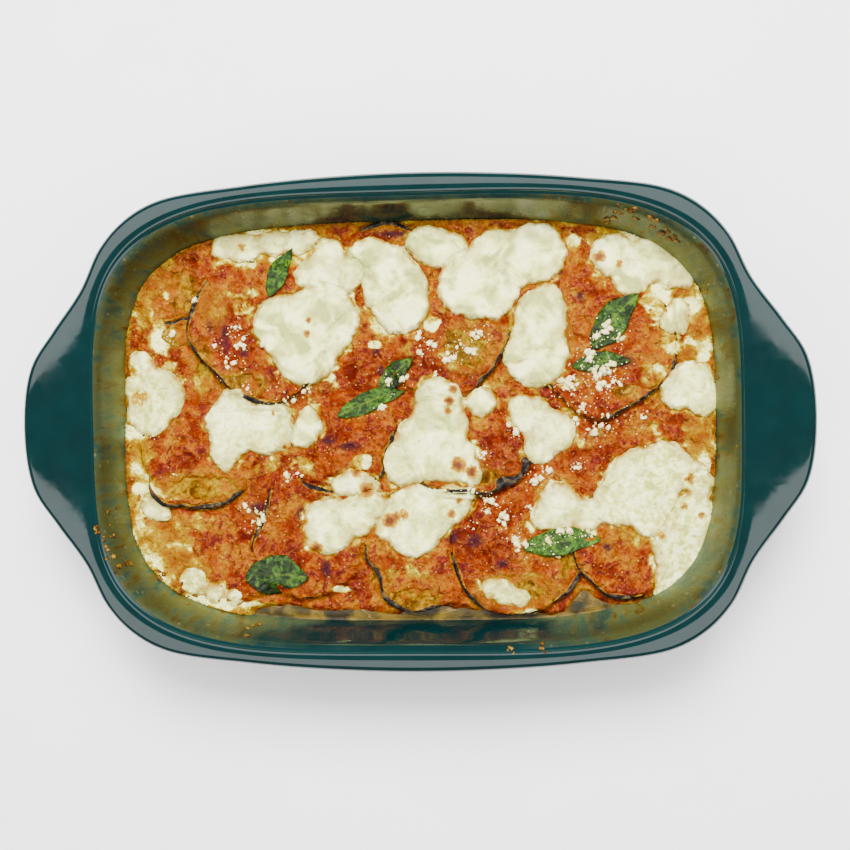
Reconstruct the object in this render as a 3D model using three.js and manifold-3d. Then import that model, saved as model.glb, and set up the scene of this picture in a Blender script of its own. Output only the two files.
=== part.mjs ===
// A baked dish of eggplant parmigiana in an oval-cornered ceramic oven dish.
// Millimetres, +Z up, origin at the middle of the foot, +X along the two handles.
// The food is layered from below: sauce, eggplant slices, oil, melted mozzarella, basil, crumbs.
import * as THREE from 'three';
import { mergeVertices } from 'three/addons/utils/BufferGeometryUtils.js';
import Module from 'manifold-3d';

const wasm = await Module();
wasm.setup();

// Driving dimensions of the baking dish
const DISH = {
  height: 70,
  cavityLength: 330,
  cavityWidth: 232,
  floor: 8,
  foodLevel: 45,
  cornerPower: 3.8,
  ringPoints: 64,
  handleDroop: 2.4,
};
const FOOT = { length: 282, width: 182, ring: 8, recess: 1.5 };

// One quarter of the rim's outline, from the tip of a handle round to the middle of a long side
const RIM_QUARTER = [
  [200, 0], [195.8, 31], [184, 49.4], [168.8, 70], [158.2, 91.4],
  [145.2, 105.5], [127.6, 114.9], [84.8, 121.1], [45.2, 124.3], [0, 125.6],
];

// Driving dimensions of the food
const SAUCE = { level: 40.2, swell: 1.2, dip: 5.5, dipStart: -84, dipEnd: -98, cells: [11, 8] };
const SLICE = { underside: 34.6, shoulder: 1.4, points: 16 };
const CHEESE = { thickness: 3.2, sunk: 1.1, points: 12, reach: 6 };
const OIL = { level: 38.4, bottom: 32, from: -90, to: 131, edge: -86 };
const LEAF = { thickness: 1.1, stations: 8, lift: 1.1, reach: 4, clearance: 0.55 };
const CRUMB = { smallest: 1.3, largest: 2.4 };
const GAP = 0.35;
const DEEP = 12;

const CERAMIC = { color: 0x0b4a49, roughness: 0.18, metalness: 0 };
const TOMATO = { color: 0xa8361a, roughness: 0.35, metalness: 0 };
const EGGPLANT = { color: 0xa9762f, roughness: 0.45, metalness: 0 };
const MOZZARELLA = { color: 0xe4e0c6, roughness: 0.4, metalness: 0 };
const OLIVE_OIL = { color: 0xc8862a, roughness: 0.08, metalness: 0 };
const BASIL = { color: 0x38531f, roughness: 0.55, metalness: 0 };

// Eggplant slices, the lowest first: middle, half sizes, height of the top and its slopes
const SLICES = [
  { name: 'eggplant_corner_left', at: [-118, 72], size: [29, 25], top: 42.5, slope: [-0.02, 0.03] },
  { name: 'eggplant_left_upper', at: [-122, 38], size: [24, 27], top: 41.8, slope: [-0.03, 0.02] },
  { name: 'eggplant_near_left', at: [-127, -63], size: [27, 27], top: 42.2, slope: [-0.02, -0.03] },
  { name: 'eggplant_near_round', at: [-98, -64], size: [27, 31], top: 42.6, slope: [0.02, -0.04] },
  { name: 'eggplant_left_lower', at: [-114, -13], size: [31, 31], top: 43.4, slope: [-0.04, -0.06] },
  { name: 'eggplant_far_left', at: [-82, 48], size: [37, 39], top: 44.2, slope: [-0.05, -0.04] },
  { name: 'eggplant_far_middle', at: [-15, 82], size: [26, 22], top: 42.4, slope: [0.01, 0.05] },
  { name: 'eggplant_centre_left', at: [-32, -8], size: [22, 26], top: 42.4, slope: [0.05, -0.03] },
  { name: 'eggplant_near_middle', at: [-58, -58], size: [30, 34], top: 43.2, slope: [-0.06, -0.02] },
  { name: 'eggplant_near_centre', at: [1, -70], size: [29, 29], top: 42.2, slope: [-0.04, -0.05] },
  { name: 'eggplant_near_right', at: [51, -69], size: [34, 32], top: 43.2, slope: [0.0, -0.05] },
  { name: 'eggplant_near_corner', at: [106, -69], size: [25, 24], top: 42.8, slope: [-0.03, -0.05] },
  { name: 'eggplant_centre', at: [27, -6], size: [34, 34], top: 43.2, slope: [0.02, -0.08], shoulder: 3.6 },
  { name: 'eggplant_centre_upper', at: [17, 42], size: [34, 31], top: 43.4, slope: [0.05, -0.05] },
  { name: 'eggplant_right', at: [100, 36], size: [36, 36], top: 43.4, slope: [0.03, -0.05] },
];

// Melted mozzarella, the lowest first: round pools [x, y, radius] that have run together
const CHEESES = [
  { name: 'mozzarella_far_strip', pools: [[-99, 93, 7], [-88, 93, 8], [-74, 95, 7.5], [-61, 95, 7], [-55, 97, 5]] },
  { name: 'mozzarella_far_fold', pools: [[-23, 84, 12], [-10, 71, 17], [-8, 62, 14]] },
  { name: 'mozzarella_far_small', pools: [[10, 91, 11], [20, 89, 9], [4, 94, 7.2]] },
  { name: 'mozzarella_far_left', pools: [[-44, 88, 9], [-50, 79, 9], [-35, 77, 9.5], [-56, 77, 6.5]] },
  { name: 'mozzarella_middle_left', pools: [[-68, 52, 16.3], [-48, 54, 19.4], [-57, 37, 16.8]] },
  { name: 'mozzarella_far_right', pools: [[64, 87, 16], [45, 82, 17.5], [30, 71, 17.5], [40, 67, 14.5]] },
  { name: 'mozzarella_oval', pools: [[65, 53, 14.3], [63, 34, 16.9], [68, 62, 8.7]] },
  { name: 'mozzarella_corner_right', pools: [[106, 84, 12], [121, 81, 12], [132, 75, 9.5], [112, 73, 9.5]] },
  { name: 'mozzarella_left', pools: [[-136, 16, 14.5], [-145, 7, 9.1], [-140, 5, 10.7], [-147, 30, 6]] },
  { name: 'mozzarella_left_centre', pools: [[-95, 0, 15.4], [-80, -1, 14.3], [-100, -11, 10.6], [-96, 11, 8.5]] },
  { name: 'mozzarella_left_tail', pools: [[-57, -2, 7.2], [-60, -7, 6.1], [-57, 4, 5.3]] },
  { name: 'mozzarella_centre', pools: [[12, 9, 13], [5, -15, 16], [-4, -20, 13], [18, -19, 12.4], [33, 9, 8], [13, -4, 15]] },
  { name: 'mozzarella_right_centre', pools: [[60, 3, 10.3], [70, -6, 11.3], [64, -14, 8.2], [54, 8, 5.6]] },
  { name: 'mozzarella_near_centre', pools: [[2, -48, 15.6], [-2, -57, 14.1], [15, -43, 10.4], [-9, -48, 11]] },
  { name: 'mozzarella_near_tail', pools: [[-32, -31, 7.3], [-39, -33, 6], [-24, -33, 4.7]] },
  { name: 'mozzarella_near_left', pools: [[-48, -53, 13.2], [-35, -50, 9.5], [-43, -59, 8.4], [-53, -61, 7.4]] },
  { name: 'mozzarella_near_right', pools: [[74, -46, 11.5], [87, -49, 8.7], [67, -50, 7.2]] },
  { name: 'mozzarella_right_lower', pools: [[115, -34, 18.3], [128, -26, 14.2], [105, -44, 11], [123, -47, 14.2]] },
  { name: 'mozzarella_corner_near', pools: [[143, -50, 11], [139, -67, 13], [132, -83, 9], [146, -34, 7]] },
  { name: 'mozzarella_right_upper', pools: [[136, 49, 6.5], [135, 55, 5], [133, 64, 5]] },
  { name: 'mozzarella_right', pools: [[141, 19, 10], [135, 15, 8.6], [147, 8, 8]] },
  { name: 'mozzarella_left_small', pools: [[-140, -44, 5.4], [-135, -46, 4.3], [-144, -42, 3.8]] },
  { name: 'mozzarella_near_band', pools: [[-119, -83, 7.5], [-107, -89, 5.4], [-97, -91, 4.4]] },
  { name: 'mozzarella_near_film', pools: [[45, -89, 6.6], [53, -92, 5.4], [38, -87, 4.7]] },
];

// Basil leaves: middle, length, width, direction in degrees, curl of the sides and bend along the leaf
const LEAVES = [
  { name: 'basil_far_left', at: [-69, 79], size: [27, 10], turn: 62, curl: 1.2, bend: 1.0 },
  { name: 'basil_middle_upper', at: [-9.5, 24.5], size: [24, 11], turn: 42, curl: 1.6, bend: 1.2 },
  { name: 'basil_middle_lower', at: [-23, 9.5], size: [37, 11], turn: 18, curl: 1.4, bend: 1.0 },
  { name: 'basil_right', at: [104, 50], size: [36, 16], turn: 48, curl: 1.8, bend: 1.4 },
  { name: 'basil_right_small', at: [96, 28.5], size: [29, 10], turn: 3, curl: 1.0, bend: 0.6 },
  { name: 'basil_near_right', at: [75, -64.5], size: [40, 14], turn: 4, curl: 1.8, bend: 1.6 },
  { name: 'basil_near_left', at: [-74, -80.5], size: [33, 21], turn: -3, curl: 1.6, bend: 1.2 },
];

// Grated cheese, in loose clusters: middle, how many crumbs and how far they spread
const CRUMB_CLUSTERS = [
  { at: [-93, 43], count: 6, spread: 12 },
  { at: [-71, 13], count: 3, spread: 6 },
  { at: [-118, 52], count: 2, spread: 10 },
  { at: [37, 44], count: 3, spread: 6 },
  { at: [19, 35], count: 4, spread: 9 },
  { at: [82, 12], count: 3, spread: 6 },
  { at: [93, 41], count: 3, spread: 6 },
  { at: [95, 20], count: 4, spread: 7 },
  { at: [45, -4], count: 2, spread: 7 },
  { at: [63, -32], count: 2, spread: 5 },
  { at: [42, -45], count: 5, spread: 11 },
  { at: [95, -16], count: 2, spread: 9 },
  { at: [-88, -46], count: 3, spread: 8 },
  { at: [80, -58], count: 3, spread: 12 },
];

// Seeded random numbers from 0 to 1, so that each build is the same
function seededRandom(seed) {
  let state = seed;
  return () => {
    state = (state + 0x6d2b79f5) | 0;
    let t = Math.imul(state ^ (state >>> 15), 1 | state);
    t = (t + Math.imul(t ^ (t >>> 7), 61 | t)) ^ t;
    return ((t ^ (t >>> 14)) >>> 0) / 4294967296;
  };
}

function smoothStep(from, to, value) {
  const t = Math.min(Math.max((value - from) / (to - from), 0), 1);
  return t * t * (3 - 2 * t);
}

// A closed skin over rings of equal point counts, with a point in the middle of each end.
// It starts on top, runs outwards and down, and ends below.
function closedLoft(firstPoint, rings, lastPoint) {
  const count = rings[0].length;
  const positions = [...firstPoint];
  for (const ring of rings) {
    for (const point of ring) positions.push(...point);
  }
  positions.push(...lastPoint);
  const last = positions.length / 3 - 1;
  const at = (ring, i) => 1 + ring * count + (i % count);
  const faces = [];
  for (let i = 0; i < count; i++) {
    faces.push(0, at(0, i), at(0, i + 1));
    for (let r = 0; r + 1 < rings.length; r++) {
      faces.push(at(r, i), at(r + 1, i), at(r + 1, i + 1));
      faces.push(at(r, i), at(r + 1, i + 1), at(r, i + 1));
    }
    faces.push(last, at(rings.length - 1, i + 1), at(rings.length - 1, i));
  }
  const geometry = new THREE.BufferGeometry();
  geometry.setAttribute('position', new THREE.Float32BufferAttribute(positions, 3));
  geometry.setIndex(faces);
  return geometry;
}

function toSolid(geometry) {
  const merged = mergeVertices(geometry, 1e-4);
  const vertProperties = Float32Array.from(merged.attributes.position.array);
  const triVerts = Uint32Array.from(merged.index.array);
  return new wasm.Manifold(new wasm.Mesh({ numProp: 3, vertProperties, triVerts }));
}

function toGeometry(solid) {
  const mesh = solid.getMesh();
  const geometry = new THREE.BufferGeometry();
  geometry.setAttribute('position', new THREE.Float32BufferAttribute(mesh.vertProperties, 3));
  geometry.setIndex(Array.from(mesh.triVerts));
  return geometry;
}

// The largest body of a cut piece, without the scraps that the cutting leaves
function largestBody(solid) {
  const bodies = solid.decompose();
  return bodies.reduce((best, body) => (body.volume() > best.volume() ? body : best));
}

// The rim's outline as a distance from the middle at any angle
function makeRimReach() {
  const quarter = RIM_QUARTER.map(([x, y]) => new THREE.Vector3(x, y, 0));
  const second = quarter.slice(0, -1).reverse().map((p) => new THREE.Vector3(-p.x, p.y, 0));
  const upper = [...quarter, ...second];
  const lower = upper.slice(1, -1).map((p) => new THREE.Vector3(-p.x, -p.y, 0));
  const curve = new THREE.CatmullRomCurve3([...upper, ...lower], true);
  const samples = curve.getSpacedPoints(1440).slice(0, -1);
  const byAngle = samples.map((p) => [Math.atan2(p.y, p.x), Math.hypot(p.x, p.y)]);
  byAngle.sort((a, b) => a[0] - b[0]);
  const first = byAngle[0];
  const final = byAngle[byAngle.length - 1];
  byAngle.push([first[0] + 2 * Math.PI, first[1]]);
  byAngle.unshift([final[0] - 2 * Math.PI, final[1]]);
  const reach = (angle) => {
    const turned = Math.atan2(Math.sin(angle), Math.cos(angle));
    const after = byAngle.findIndex((entry) => entry[0] >= turned);
    const [a0, r0] = byAngle[Math.max(after - 1, 0)];
    const [a1, r1] = byAngle[after];
    return a1 > a0 ? r0 + ((r1 - r0) * (turned - a0)) / (a1 - a0) : r1;
  };
  const angles = curve.getSpacedPoints(DISH.ringPoints).slice(0, -1).map((p) => Math.atan2(p.y, p.x));
  return { reach, angles };
}

const rim = makeRimReach();

// Distance from the middle to a rounded rectangle of the given half sizes
function squircleReach(halfLength, halfWidth, angle, power = DISH.cornerPower) {
  const x = Math.abs(Math.cos(angle) / halfLength) ** power;
  const y = Math.abs(Math.sin(angle) / halfWidth) ** power;
  return (x + y) ** (-1 / power);
}

function squircleRing(halfLength, halfWidth, z, power) {
  return rim.angles.map((angle) => {
    const r = squircleReach(halfLength, halfWidth, angle, power);
    return [r * Math.cos(angle), r * Math.sin(angle), z];
  });
}

// Half sizes of the cavity, by height above the foot
function cavityStations(clearance) {
  const a = DISH.cavityLength / 2 - clearance;
  const b = DISH.cavityWidth / 2 - clearance;
  const bottom = DISH.floor + clearance;
  return [
    [a - 30, b - 30, bottom],
    [a - 20.5, b - 21, bottom + 1.6],
    [a - 15.2, b - 15.8, bottom + 8],
    [a - 10.3, b - 10.8, DISH.foodLevel],
    [a - 4, b - 4, DISH.height - 4],
  ];
}

// A ring on the rim, a share of the way or a distance in from its outer edge
function rimRing(z, { share = null, fromEdge = 0, fromCavity = null }) {
  const a = DISH.cavityLength / 2;
  const b = DISH.cavityWidth / 2;
  return rim.angles.map((angle) => {
    const inner = squircleReach(a, b, angle);
    const outer = rim.reach(angle);
    let r = outer - fromEdge;
    if (fromCavity !== null) r = inner + fromCavity;
    if (share !== null) r = inner + (outer - inner) * share;
    const y = r * Math.sin(angle);
    const handle = smoothStep(12, 34, outer - inner) * smoothStep(0, 12, r - inner);
    return [r * Math.cos(angle), y, z - DISH.handleDroop * handle * (y / 60) ** 2];
  });
}

// The dish: one skin from the middle of the floor, up the wall, over the rim and down to the foot
function dishGeometry() {
  const top = DISH.height;
  const inside = cavityStations(0).map(([a, b, z]) => squircleRing(a, b, z));
  const overRim = [
    rimRing(top - 1.3, { fromCavity: -1.2 }),
    rimRing(top - 0.2, { fromCavity: 1.6 }),
    rimRing(top, { share: 0.5 }),
    rimRing(top - 0.9, { fromEdge: 2.6 }),
    rimRing(top - 2.2, { fromEdge: 0.7 }),
    rimRing(top - 4.6, { fromEdge: 0 }),
    rimRing(top - 8, { fromEdge: 1.8 }),
  ];
  const a = DISH.cavityLength / 2;
  const b = DISH.cavityWidth / 2;
  const footA = FOOT.length / 2;
  const footB = FOOT.width / 2;
  const outside = [
    squircleRing(a + 1.6, b + 1.6, top - 11.5),
    squircleRing(a - 7.2, b - 8, 26),
    squircleRing(a - 12, b - 13, 8),
    squircleRing(footA + 1.5, footB + 1.5, 2.6),
    squircleRing(footA - 1, footB - 1, 0),
    squircleRing(footA - FOOT.ring, footB - FOOT.ring, 0),
    squircleRing(footA - FOOT.ring - 1.5, footB - FOOT.ring - 1.5, FOOT.recess),
  ];
  return closedLoft([0, 0, DISH.floor], [...inside, ...overRim, ...outside], [0, 0, FOOT.recess]);
}

// The space inside the dish, which no food passes
function cavitySolid() {
  const stations = cavityStations(GAP);
  const rings = stations.map(([a, b, z]) => squircleRing(a, b, z)).reverse();
  return toSolid(closedLoft([0, 0, DISH.height - 4], rings, [0, 0, DISH.floor + GAP]));
}

// Height of the sauce, which swells between the slices and dips under the oil at the near side
function sauceTop(x, y) {
  const swell = Math.sin(x / 21 + 0.7) * Math.cos(y / 17 - 0.4) + 0.6 * Math.sin((x - y) / 12);
  const nearSide = smoothStep(SAUCE.dipStart, SAUCE.dipEnd, y) * smoothStep(-104, -84, x);
  return SAUCE.level + SAUCE.swell * swell - SAUCE.dip * nearSide;
}

function sliceReach(slice, angle) {
  const [a, b] = slice.size;
  const round = (a * b) / Math.hypot(b * Math.cos(angle), a * Math.sin(angle));
  return round * (1 + 0.022 * Math.sin(3 * angle + slice.at[0]) + 0.014 * Math.sin(5 * angle + slice.at[1]));
}

function sliceTop(slice, x, y) {
  const dx = x - slice.at[0];
  const dy = y - slice.at[1];
  return slice.top + slice.slope[0] * dx + slice.slope[1] * dy;
}

// The flat underside of a cheese, low enough to be sunk in what it lies on all round its rim
function layOutUnderside(cheese) {
  const samples = [];
  for (let i = 0; i < CHEESE.points; i++) {
    const angle = (i * 2 * Math.PI) / CHEESE.points;
    const r = 0.9 * cheeseReach(cheese, angle);
    const dx = r * Math.cos(angle);
    const dy = r * Math.sin(angle);
    samples.push({ dx, dy, z: underCheese(cheese.at[0] + dx, cheese.at[1] + dy) });
  }
  const total = (pick) => samples.reduce((sum, sample) => sum + pick(sample), 0);
  const mean = total((p) => p.z) / samples.length;
  const slopeX = total((p) => (p.z - mean) * p.dx) / total((p) => p.dx * p.dx);
  const slopeY = total((p) => (p.z - mean) * p.dy) / total((p) => p.dy * p.dy);
  const plane = (dx, dy) => mean + slopeX * dx + slopeY * dy;
  const proud = Math.max(...samples.map((p) => plane(p.dx, p.dy) - p.z));
  cheese.underside = (x, y) => plane(x - cheese.at[0], y - cheese.at[1]) - proud - CHEESE.sunk;
}

// How far along a ray from the middle the round pools of a cheese reach
function poolReach(pools, cx, cy, angle) {
  const dirX = Math.cos(angle);
  const dirY = Math.sin(angle);
  let reach = 0;
  for (const [x, y, r] of pools) {
    const along = (x - cx) * dirX + (y - cy) * dirY;
    const beside = (x - cx) * dirY - (y - cy) * dirX;
    if (Math.abs(beside) < r) reach = Math.max(reach, along + Math.sqrt(r * r - beside * beside));
  }
  return reach;
}

// Middle and outline of a cheese, with the notches between its pools softened
function layOutCheese(cheese) {
  let weight = 0;
  let cx = 0;
  let cy = 0;
  for (const [x, y, r] of cheese.pools) {
    weight += r * r;
    cx += x * r * r;
    cy += y * r * r;
  }
  cheese.at = [cx / weight, cy / weight];
  let xx = 0;
  let xy = 0;
  let yy = 0;
  for (const [x, y, r] of cheese.pools) {
    const dx = x - cheese.at[0];
    const dy = y - cheese.at[1];
    xx += r * r * (dx * dx + r * r / 4);
    yy += r * r * (dy * dy + r * r / 4);
    xy += r * r * dx * dy;
  }
  cheese.axis = 0.5 * Math.atan2(2 * xy, xx - yy);
  const spread = Math.sqrt(((xx - yy) / 2) ** 2 + xy * xy);
  cheese.aspect = Math.sqrt(((xx + yy) / 2 + spread) / Math.max((xx + yy) / 2 - spread, 1));
}

function cheeseReach(cheese, angle) {
  const offsets = [-0.22, -0.11, 0, 0.11, 0.22];
  const sum = offsets.reduce((total, o) => total + poolReach(cheese.pools, ...cheese.at, angle + o), 0);
  const ripple = 0.025 * Math.sin(4 * angle + cheese.at[0]) + 0.02 * Math.sin(7 * angle + cheese.at[1]);
  return (sum / offsets.length) * (1 + ripple);
}

// The mean of a height at a point and at six points round it
function smoothed(height, x, y, reach) {
  let sum = height(x, y);
  for (let i = 0; i < 6; i++) {
    const angle = (i * Math.PI) / 3;
    sum += height(x + reach * Math.cos(angle), y + reach * Math.sin(angle));
  }
  return sum / 7;
}

// Height of what lies under the cheese, smoothed as melted cheese smooths it
function underCheese(x, y) {
  return smoothed(bedTop, x, y, CHEESE.reach);
}

// Top of the sauce or of the highest slice over a point
function bedTop(x, y) {
  let top = sauceTop(x, y);
  for (const slice of SLICES) {
    const dx = x - slice.at[0];
    const dy = y - slice.at[1];
    if (Math.hypot(dx, dy) < sliceReach(slice, Math.atan2(dy, dx))) top = Math.max(top, sliceTop(slice, x, y));
  }
  return top;
}

// A low rounded cake over an outline: grow swells it on all sides to cut its place in others
function cakeSolid({ at, points, axis = 0, aspect = 1, reach, top, bottom, rings, grow = 0, deeper = 0 }) {
  const angles = Array.from({ length: points }, (_, i) => {
    const t = (i * 2 * Math.PI) / points;
    return axis + Math.atan2(Math.sin(t) / Math.sqrt(aspect), Math.cos(t) * Math.sqrt(aspect));
  });
  const place = (angle, share, inset, height) => {
    const r = Math.max(reach(angle) * share - inset, 0.5);
    const z = height(at[0] + r * Math.cos(angle), at[1] + r * Math.sin(angle));
    return [at[0] + (r + grow) * Math.cos(angle), at[1] + (r + grow) * Math.sin(angle), z];
  };
  const upper = (drop) => (x, y) => top(x, y) - drop + grow;
  const lower = (x, y) => bottom(x, y) - grow - deeper;
  const loftRings = rings.map(({ share = 1, inset = 0, drop = 0 }) => angles.map((angle) =>
    place(angle, share, typeof inset === 'function' ? inset(angle) : inset, upper(drop))));
  loftRings.push(angles.map((angle) => place(angle, 1, 0.6, lower)));
  const [x, y] = at;
  return toSolid(closedLoft([x, y, upper(0)(x, y)], loftRings, [x, y, lower(x, y)]));
}

function sliceSolid(slice, grow = 0, deeper = 0) {
  const shoulder = slice.shoulder ?? SLICE.shoulder;
  const nearSide = (angle) => SLICE.shoulder + (shoulder - SLICE.shoulder) * Math.max(0, -Math.sin(angle)) ** 2;
  return cakeSolid({
    at: slice.at,
    points: SLICE.points,
    reach: (angle) => sliceReach(slice, angle),
    top: (x, y) => sliceTop(slice, x, y),
    bottom: () => SLICE.underside,
    rings: [{ inset: nearSide }, { drop: SLICE.shoulder }],
    grow,
    deeper,
  });
}

function cheeseSolid(cheese, grow = 0, deeper = 0) {
  return cakeSolid({
    at: cheese.at,
    points: CHEESE.points,
    axis: cheese.axis,
    aspect: cheese.aspect,
    reach: (angle) => cheeseReach(cheese, angle),
    top: (x, y) => underCheese(x, y) + CHEESE.thickness,
    bottom: cheese.underside,
    rings: [{ share: 0.66, drop: 0.1 }, { drop: 1.9 }],
    grow,
    deeper,
  });
}

// Sauce and hidden layers: everything from the floor up to the uneven top, inside the cavity
function fillingSolid() {
  const [columns, rows] = SAUCE.cells;
  const upper = [];
  const lower = [];
  for (let i = 0; i <= columns; i++) {
    for (let j = 0; j <= rows; j++) {
      const x = (i / columns - 0.5) * (DISH.cavityLength + 6);
      const y = (j / rows - 0.5) * (DISH.cavityWidth + 6);
      upper.push([x, y, sauceTop(x, y)]);
      lower.push([x, y, 0]);
    }
  }
  return toSolid(sheetGeometry(upper, lower, columns + 1, rows + 1));
}

// The oil that has run together along the near wall
function oilSolid(grow = 0) {
  const shape = new THREE.Shape();
  const round = 12 + grow;
  const nearY = -DISH.cavityWidth / 2;
  const edgeY = OIL.edge + grow;
  shape.moveTo(OIL.from - grow, nearY);
  shape.lineTo(OIL.to + grow, nearY);
  shape.lineTo(OIL.to + grow, edgeY - round);
  shape.quadraticCurveTo(OIL.to + grow, edgeY, OIL.to + grow - round, edgeY);
  shape.lineTo(OIL.from - grow + round, edgeY);
  shape.quadraticCurveTo(OIL.from - grow, edgeY, OIL.from - grow, edgeY - round);
  const depth = OIL.level - OIL.bottom + 2 * grow;
  const prism = new THREE.ExtrudeGeometry(shape, { depth, bevelEnabled: false, curveSegments: 4 });
  prism.translate(0, 0, OIL.bottom - grow);
  prism.deleteAttribute('normal');
  prism.deleteAttribute('uv');
  return toSolid(prism);
}

// Top of the cheese or of what shows beside it
function foodTop(x, y) {
  let top = bedTop(x, y);
  for (const cheese of CHEESES) {
    const dx = x - cheese.at[0];
    const dy = y - cheese.at[1];
    if (Math.hypot(dx, dy) < cheeseReach(cheese, Math.atan2(dy, dx))) {
      top = Math.max(top, underCheese(x, y) + CHEESE.thickness);
    }
  }
  return top;
}

// A thin wavy leaf, its lower face the same triangles as its upper one
function leafSolid(leaf, grow = 0) {
  const [length, width] = leaf.size;
  const turn = THREE.MathUtils.degToRad(leaf.turn);
  const across = [-1, 0, 1];
  const upper = [];
  const lower = [];
  for (let i = 0; i < LEAF.stations; i++) {
    const u = i / (LEAF.stations - 1);
    const half = (width / 2) * (0.12 + 0.88 * Math.sin(Math.PI * u ** 0.85) ** 0.8);
    const wave = leaf.bend * Math.sin(5.5 * u + leaf.at[0]);
    for (const v of across) {
      const along = (u - 0.5) * length;
      const beside = v * half * (1 + 0.08 * Math.sin(9 * u + 2 * v)) + 0.06 * length * Math.sin(2.6 * u);
      const x = leaf.at[0] + along * Math.cos(turn) - beside * Math.sin(turn);
      const y = leaf.at[1] + along * Math.sin(turn) + beside * Math.cos(turn);
      const curl = leaf.curl * v * v * Math.sin(Math.PI * u) * Math.sin(7 * u + leaf.at[1] + v);
      const z = smoothed(foodTop, x, y, LEAF.reach) + LEAF.lift + 0.5 * wave + 0.6 * curl;
      const outX = 2 * grow * (u - 0.5) * Math.cos(turn) - v * grow * Math.sin(turn);
      const outY = 2 * grow * (u - 0.5) * Math.sin(turn) + v * grow * Math.cos(turn);
      upper.push([x + outX, y + outY, z + LEAF.thickness / 2 + grow]);
      lower.push([x + outX, y + outY, z - LEAF.thickness / 2 - grow]);
    }
  }
  return toSolid(sheetGeometry(upper, lower, LEAF.stations, across.length));
}

// A closed sheet from two grids of points, row by row
function sheetGeometry(upper, lower, rows, columns) {
  const faces = [];
  const low = upper.length;
  const at = (i, j) => i * columns + j;
  for (let i = 0; i + 1 < rows; i++) {
    for (let j = 0; j + 1 < columns; j++) {
      const [a, b, c, d] = [at(i, j), at(i + 1, j), at(i + 1, j + 1), at(i, j + 1)];
      faces.push(a, b, c, a, c, d, low + a, low + c, low + b, low + a, low + d, low + c);
    }
  }
  const edge = [];
  for (let i = 0; i < rows; i++) edge.push(at(i, 0));
  for (let j = 1; j < columns; j++) edge.push(at(rows - 1, j));
  for (let i = rows - 2; i >= 0; i--) edge.push(at(i, columns - 1));
  for (let j = columns - 2; j > 0; j--) edge.push(at(0, j));
  edge.forEach((a, i) => {
    const b = edge[(i + 1) % edge.length];
    faces.push(a, low + a, low + b, a, low + b, b);
  });
  const geometry = new THREE.BufferGeometry();
  geometry.setAttribute('position', new THREE.Float32BufferAttribute([...upper, ...lower].flat(), 3));
  geometry.setIndex(faces);
  return geometry;
}

// Cuts each piece by all that lie over it, and keeps all of them inside the dish
function cutByUpper(pieces) {
  const cavity = cavitySolid();
  for (let i = 0; i < pieces.length; i++) {
    let solid = pieces[i].solid.intersect(cavity);
    for (const upper of pieces.slice(i + 1)) {
      const sameKind = upper.kind === pieces[i].kind;
      solid = solid.subtract(upper.cutter(sameKind));
    }
    pieces[i].solid = largestBody(solid);
  }
}

// A crumb of grated cheese: an uneven eight-sided lump
function crumbSolid(x, y, z, radius, shape) {
  const geometry = new THREE.OctahedronGeometry(radius);
  geometry.scale(1 + 0.5 * shape[0], 0.8 + 0.3 * shape[1], 0.75 + 0.3 * shape[2]);
  geometry.rotateX(0.5 * shape[1]);
  geometry.rotateZ(2 * Math.PI * shape[3]);
  geometry.translate(x, y, z);
  geometry.deleteAttribute('normal');
  geometry.deleteAttribute('uv');
  return toSolid(geometry);
}

// Drops crumbs on the finished pieces, each fused to the one piece that it lies on and clear of the others
function addCrumbs(pieces) {
  const random = seededRandom(41);
  const meshes = pieces.map((piece) => {
    const mesh = new THREE.Mesh(toGeometry(piece.solid), new THREE.MeshBasicMaterial());
    mesh.userData.piece = piece;
    return mesh;
  });
  const down = new THREE.Vector3(0, 0, -1);
  const ray = new THREE.Raycaster();
  for (const cluster of CRUMB_CLUSTERS) {
    for (let i = 0; i < cluster.count; i++) {
      const angle = 2 * Math.PI * random();
      const distance = cluster.spread * Math.sqrt(random());
      const radius = CRUMB.smallest + (CRUMB.largest - CRUMB.smallest) * random() ** 2;
      const shape = [random(), random(), random(), random()];
      const x = cluster.at[0] + distance * Math.cos(angle);
      const y = cluster.at[1] + distance * Math.sin(angle);
      ray.set(new THREE.Vector3(x, y, DISH.height + 20), down);
      const hit = ray.intersectObjects(meshes, false)[0];
      const under = hit?.object.userData.piece;
      if (!under?.takesCrumbs) continue;
      const z = hit.point.z + 0.15 * radius;
      const room = crumbSolid(x, y, z, radius + 2 * GAP, shape);
      const crowded = pieces.some((piece) => piece !== under && piece.solid.intersect(room).volume() > 0);
      if (!crowded) under.solid = under.solid.add(crumbSolid(x, y, z, radius, shape));
    }
  }
}

function addMesh(group, name, geometry, finish) {
  const mesh = new THREE.Mesh(geometry, new THREE.MeshStandardMaterial(finish));
  mesh.name = name;
  group.add(mesh);
}

CHEESES.forEach(layOutCheese);
CHEESES.forEach(layOutUnderside);

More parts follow.
